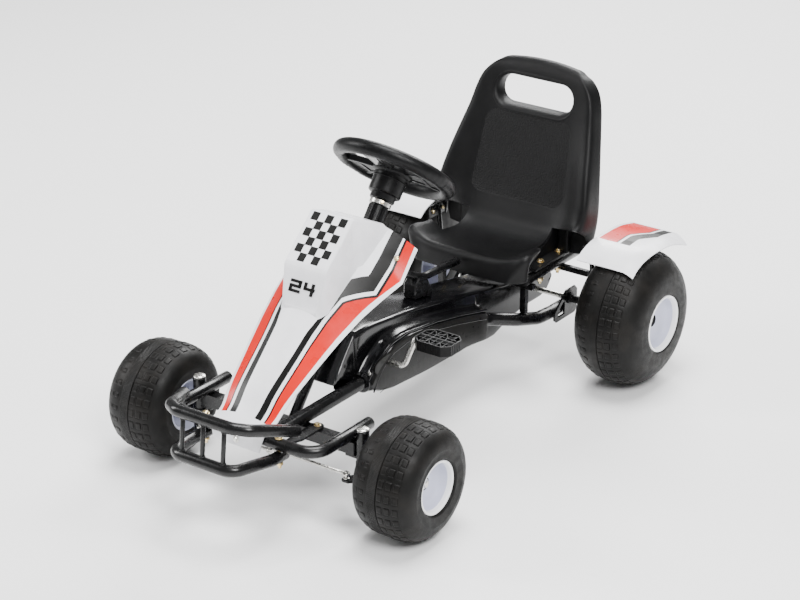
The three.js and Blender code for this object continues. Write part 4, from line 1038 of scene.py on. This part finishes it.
def fairing():
    """White shell with stripes, checker squares, number, nose bolt and screws."""
    keys = smooth_between(FAIRING_ROWS, 7, FAIRING_CORNERS)
    halves = [fairing_half_row(*row) for row in keys]
    rows = [[(-x, y, z) for x, y, z in half[:0:-1]] + half for half in halves]
    middle = len(halves[0]) - 1
    bands = {6: 2, 8: 2, 9: 1}

    def look(i, j):
        column = j - middle if j >= middle else middle - 1 - j
        y = keys[i][0]
        if y < -100 or y > 226.5:
            return 0
        return bands.get(column, 0)

    shell = Shape().add(sheet(rows, 2.4, look))
    shell.make("fairing_shell", "chassis", ["fairing"], "white_plastic", ["white", "red", "black_film"], 26)

    decals = Shape()
    # Checker squares on the sloping top of the hump: rows of squares, every other one black.
    low, high = Vector((0, 69.5, 387.4)), Vector((0, 137.5, 448.9))
    up = (high - low).normalized()
    out = Vector((0, -up.z, up.y))
    squares, count = 6, 5
    step_up = (high - low).length / squares
    step_x = 14.0
    for i in range(squares):
        for j in range(count):
            if (i + j) % 2 == 0:
                continue
            x0 = (j - count / 2) * step_x
            base = low + up * (i * step_up)
            quad = [base + X * x0, base + X * (x0 + step_x), base + X * (x0 + step_x) + up * step_up,
                    base + X * x0 + up * step_up]
            flat = [p + out * h for h in (-0.3, 0.55) for p in quad]
            decals.add((flat, rings_to_faces(2, 4)))
    decals.make("fairing_checker", "chassis", [], "white_plastic", ["black_film"])

    lean = atan2(13, 64)
    digits = Shape()
    for left, strokes in DIGITS:
        for x0, x1, z0, z1 in strokes:
            corners = [(x0, z0), (x1, z0), (x1, z1), (x0, z1)]
            slanted = [(left + x + 0.2 * z, z - 11) for x, z in corners]
            verts = [(x, 57 + z * sin(lean) - h * cos(lean),
                      348 + z * cos(lean) + h * sin(lean))
                     for h in (-0.3, 0.5) for x, z in slanted]
            digits.add((verts, rings_to_faces(2, 4)))
    digits.make("fairing_number", "chassis", [], "white_plastic", ["black_film"])

    bolt = Shape()
    bolt.add(drum((0, 0, 146), (0, -1, 0), 6.4, 122.9, 124.2, 0.3))
    bolt.add(turned([(0.1, 124), (4.6, 124), (4.6, 125.4), (3.4, 127), (0.1, 127.3)], (0, 0, 146),
                    (0, -1, 0), 28))
    bolt.dress("nose_bolt", "chassis", "bright_zinc", ["zinc"])
    screw_axis = (0.31, -0.6, 0.74)
    head = [(0.1, 1.6), (4.8, 1.6), (4.9, 2.2), (3.6, 3.6), (1.6, 4.0), (1.2, 3.1), (0.1, 3.0)]
    both("fairing_screw", turned(head, (88, 200, 372.5), screw_axis, 28), "chassis", "gold_zinc", ["gold"])


# ------------------------------------------------------------------ seat
# centre y, z; rim x, y, z; skirt x, y, z
SEAT_ROWS = [
    (519.2, 214.5, 98, 522, 214.5, 106, 527, 214.5), (519.6, 232, 108, 525, 232, 114, 531, 214.5),
    (521.6, 247, 119, 530, 248, 122, 539, 215), (530, 253.5, 130, 539, 262, 124, 550, 216),
    (548, 250.5, 132, 555, 267, 112, 560, 222), (580, 244, 124, 586, 264, 100, 586, 224),
    (610, 240.5, 130, 610, 268, 104, 611, 224), (650, 243, 152, 650, 276, 152, 655, 215),
    (677, 256, 157, 668, 287, 158, 690, 218), (692, 282, 160, 677, 304, 160, 712, 240),
    (706, 314, 160, 684, 326, 161, 728, 290), (722, 368, 151, 701, 370, 157, 736, 350),
    (733, 412, 141.5, 721, 412, 147, 752, 400), (743, 450, 132, 738, 450, 137, 768, 441),
    (753, 482, 125, 749, 482, 130, 778, 477), (761, 508, 115, 757, 507, 120, 785, 504),
    (768, 528, 99, 764, 524, 104, 789, 522), (775, 539.5, 86, 772, 533, 90, 790, 529),
    (783, 544, 78, 780, 537.5, 82, 793, 532.5),
    (792, 544, 72, 790, 538, 75, 796, 532.5),
]


def seat_half_row(cy, cz, rx, ry, rz, sx, sy, sz):
    deep = min(1.0, max(0.0, (rx - 90) / 40))
    shares = [(0, 0), (0.22, 0.005), (0.44, 0.02), (0.58, 0.09), (0.68, 0.27), (0.76, 0.55), (0.83, 0.82),
              (0.90, 0.98), (0.96, 1.0)]
    shares = [(u, r * deep + u * u * (1 - deep)) for u, r in shares]
    points = [(u * rx, cy + (ry - cy) * r, cz + (rz - cz) * r + 2.0 * deep * (u > 0.88)) for u, r in shares]
    points.append((rx, ry + 3 * deep, rz - 2.5 * deep))
    for t in (0.3, 0.65, 1.0):
        points.append((rx + (sx - rx) * t, ry + (sy - ry) * t + 2, rz + (sz - rz) * t))
    return points


def slot_line(half, high, count=10):
    """Round-ended slot outline in (x, z), centred on the handle hole."""
    points = []
    for centre, start in ((half - high, -pi / 2), (high - half, pi / 2)):
        for k in range(count + 1):
            a = start + pi * k / count
            points.append((centre + high * cos(a), 484 + high * sin(a)))
    return points


def seat():
    """Bucket shell with a handle hole and a recess over each pair of seat bolts."""
    keys = smooth_between(SEAT_ROWS, 4)
    halves = [seat_half_row(*row) for row in keys]
    rows = [[(-x, y, z) for x, y, z in half[:0:-1]] + half for half in halves]
    obj = Shape().add(sheet(rows, 3.6)).make("seat_shell", "chassis", ["seat"], "seat_plastic", ["seat"], 60)
    settle(subdivide(obj, 1))
    face_y = lambda z: float(np.interp(z, [412, 450, 482, 508, 528], [733, 743, 753, 761, 768]))
    cut_out(obj, prism(slot_line(88, 34), 700, 790, Y, 0.1))
    for s in (1, -1):
        low, high = sorted((s * 90, s * 180))
        side = [(598, 200), (594, 300), (636, 300), (662, 284), (688, 266), (704, 242), (709, 216),
                (709, 200)]
        cut_out(obj, prism(side, low, high, X, 0.1))
    obj.data.polygons.foreach_set("use_smooth", [True] * len(obj.data.polygons))
    obj.data.set_sharp_from_angle(angle=radians(35))

    collar = Shape()
    loops = [(91, 37, 0.4), (88.5, 34.5, -1.2), (85.5, 31.5, -1.0), (82.5, 28.5, 1.6), (80.5, 26.5, 7),
             (79.6, 25.6, 14), (79.5, 25.5, 25), (80.5, 26.5, 28.5), (83, 29, 29), (84, 30, 26),
             (84, 30, 10), (88, 34, 4.5)]
    verts = []
    for half, high, depth in loops:
        verts += [(x, face_y(z) + depth, z) for x, z in slot_line(half, high)]
    collar.add((verts, rings_to_faces(len(loops), len(slot_line(1, 1)), closed=True)))
    collar.make("seat_handle_collar", "chassis", [], "seat_plastic", ["seat"], 60)

    pockets = Shape()
    for s in (1, -1):
        a, b = sorted((s * 86, s * 113))
        pockets.add(box(a, b, 594, 713, 216.5, 222.3, 1))
        wall = [(594, 218), (594, 240), (612, 239.5), (650, 242.5), (668, 249), (680, 259), (690, 277),
                (697, 292), (703, 304), (709, 306), (709, 218)]
        a, b = sorted((s * 87, s * 90.6))
        pockets.add(prism(wall, a, b, X, 0.6))
        rib = [(s * 98, 694), (s * 115, 694), (s * 117, 696), (s * 117, 709), (s * 98, 709)]
        pockets.add(prism(rib, 221, 280, Z, 0.6))
        back = [(s * 87, 217), (s * 120, 217), (s * 150, 222), (s * 156, 244), (s * 156, 258), (s * 87, 262)]
        pockets.add(prism(back, 708.5, 712, Y, 0.8))
        front = [(s * 86, 217), (s * 100, 217), (s * 108, 236), (s * 118, 258), (s * 86, 243)]
        pockets.add(prism(front, 592, 596, Y, 0.8))
    pockets.make("seat_pockets", "chassis", [], "seat_plastic", ["seat"])


# ------------------------------------------------------------------ fenders
FENDER_ROWS = [(640, 240.5, 8), (655, 251, 8), (675, 258.5, 8), (700, 262.5, 8), (730, 263.4, 8),
               (770, 262.5, 10), (800, 258, 13), (835, 250, 18)]
# Sticker borders as (y, x) runs: red panel, then the chevron band
FENDER_BORDERS = [
    [(704, 177), (838, 177)], [(704, 213), (748, 212), (783, 235), (838, 232)],
    [(704, 215.5), (748, 214.5), (783, 238), (838, 235)], [(704, 221), (748, 220), (783, 243), (838, 240)],
    [(704, 241), (740, 239), (770, 261), (838, 258)],
]


def fenders():
    """Fender sheets with their stickers, and the bent brackets that hold them."""
    keys = smooth_between(FENDER_ROWS, 6)
    rows = []
    for y, z, drop in keys:
        marks = [float(np.interp(y, *zip(*line))) for line in FENDER_BORDERS]
        xs = [170.6, 172.5] + marks + [266, 271, 276, 281, 285, 286.8]
        sink = lambda x: drop * min(1, max(0, (x - 262) / 24.8)) ** 1.6
        rows.append([(x, y, z - sink(x)) for x in xs])

    def look(i, j):
        y = keys[i][0]
        if y < 703 or y > 828:
            return 0
        if j == 2:
            return 1
        if j == 3:
            return 2
        if j == 5:
            return 3 if 722 < y < 790 else 2
        return 0

    both("fender", sheet(rows, 2.3, look), "chassis", "white_plastic",
         ["white", "red", "black_film", "grey_film"], 30)
    bracket = Shape()
    bracket.add(tube([(112.9, 743, 108), (130, 743, 112), (150, 735, 150), (167, 704, 186),
                      (167, 694, 245)], 4.6, 18, 22))
    bracket.add(box(165.2, 169.2, 666, 712, 232, 256, 0.8)).add(box(165.2, 184, 688, 712, 253.6, 256.4, 0.6))
    for y in (674, 705):
        bracket.add(hexagon((0, y, 243), (-1, 0, 0), 3.8, -165.3, -162.4), 1)
    whole = bracket.part
    both("fender_bracket", whole, "chassis", "frame_paint", ["paint", "gold"])


# ------------------------------------------------------------------ CAD pieces kept as they are
def carried_over():
    for node, look in (("chain", "steel"), ("chainring", "steel"), ("sprocket", "steel"),
                       ("crank_bush_left", "plastic"), ("crank_bush_right", "plastic")):
        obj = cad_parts[node]
        obj.data.materials.clear()
        obj.data.materials.append(MATS[look])


# ------------------------------------------------------------------ studio
def light(name, place, aim, size, power):
    data = bpy.data.lights.new(name, "AREA")
    data.shape = "RECTANGLE"
    data.size, data.size_y = size
    data.energy = power
    obj = bpy.data.objects.new(name, data)
    bpy.context.scene.collection.objects.link(obj)
    obj.location = place
    obj.rotation_euler = (Vector(place) - Vector(aim)).to_track_quat("Z", "Y").to_euler()


def studio():
    mesh = bpy.data.meshes.new("floor")
    half = 40
    mesh.from_pydata([(-half, -half, 0), (half, -half, 0), (half, half, 0), (-half, half, 0)], [],
                     [(0, 1, 2, 3)])
    mat, shader = new_material("floor_white", (0.92, 0.92, 0.92), 0.7)
    tint(mat, shader, noise(mat, 0.5), [(0.90, 0.90, 0.90), (0.93, 0.93, 0.93)])
    mesh.materials.append(mat)
    floor = bpy.data.objects.new("floor", mesh)
    floor.location.z = -0.0005
    bpy.context.scene.collection.objects.link(floor)
    world = bpy.data.worlds.new("studio")
    world.use_nodes = True
    world.node_tree.nodes["Background"].inputs["Color"].default_value = (1, 1, 1, 1)
    world.node_tree.nodes["Background"].inputs["Strength"].default_value = 0.38
    bpy.context.scene.world = world
    aim = (0, 0, 0.25)
    light("key", (2.4, -1.6, 3.0), aim, (1.6, 1.6), 190)
    light("left", (-3.2, -1.6, 2.2), aim, (0.9, 2.0), 120)
    light("back", (-0.8, 3.2, 2.4), aim, (2.4, 0.9), 170)
    light("top", (0.1, 0.2, 3.8), aim, (1.8, 1.8), 210)


def camera():
    """Set where the wheels and frame line up with the photograph's view."""
    azimuth, elevation, roll = radians(35.229), radians(23.835), radians(0.269)
    back = Vector((sin(azimuth) * cos(elevation), -cos(azimuth) * cos(elevation),
                   sin(elevation)))
    right = Vector((cos(azimuth), sin(azimuth), 0))
    up = back.cross(right)
    turned_right = right * cos(roll) + up * sin(roll)
    turned_up = up * cos(roll) - right * sin(roll)
    data = bpy.data.cameras.new("camera")
    data.sensor_width = 36
    data.lens = 3.13275 * data.sensor_width
    data.clip_end = 100
    obj = bpy.data.objects.new("camera", data)
    rotation = Matrix((turned_right, turned_up, back)).transposed()
    obj.matrix_world = Matrix.Translation((2.2961, -2.91749 + SHIFT * MM, 1.98566)) @ rotation.to_4x4()
    bpy.context.scene.collection.objects.link(obj)
    bpy.context.scene.camera = obj


camera()
wheels()
frame_tubes()
seat_frame()
chain_case()
drive()
axle_plates()
steering_wheel()
column()
knuckles()
fairing()
seat()
fenders()
carried_over()
studio()
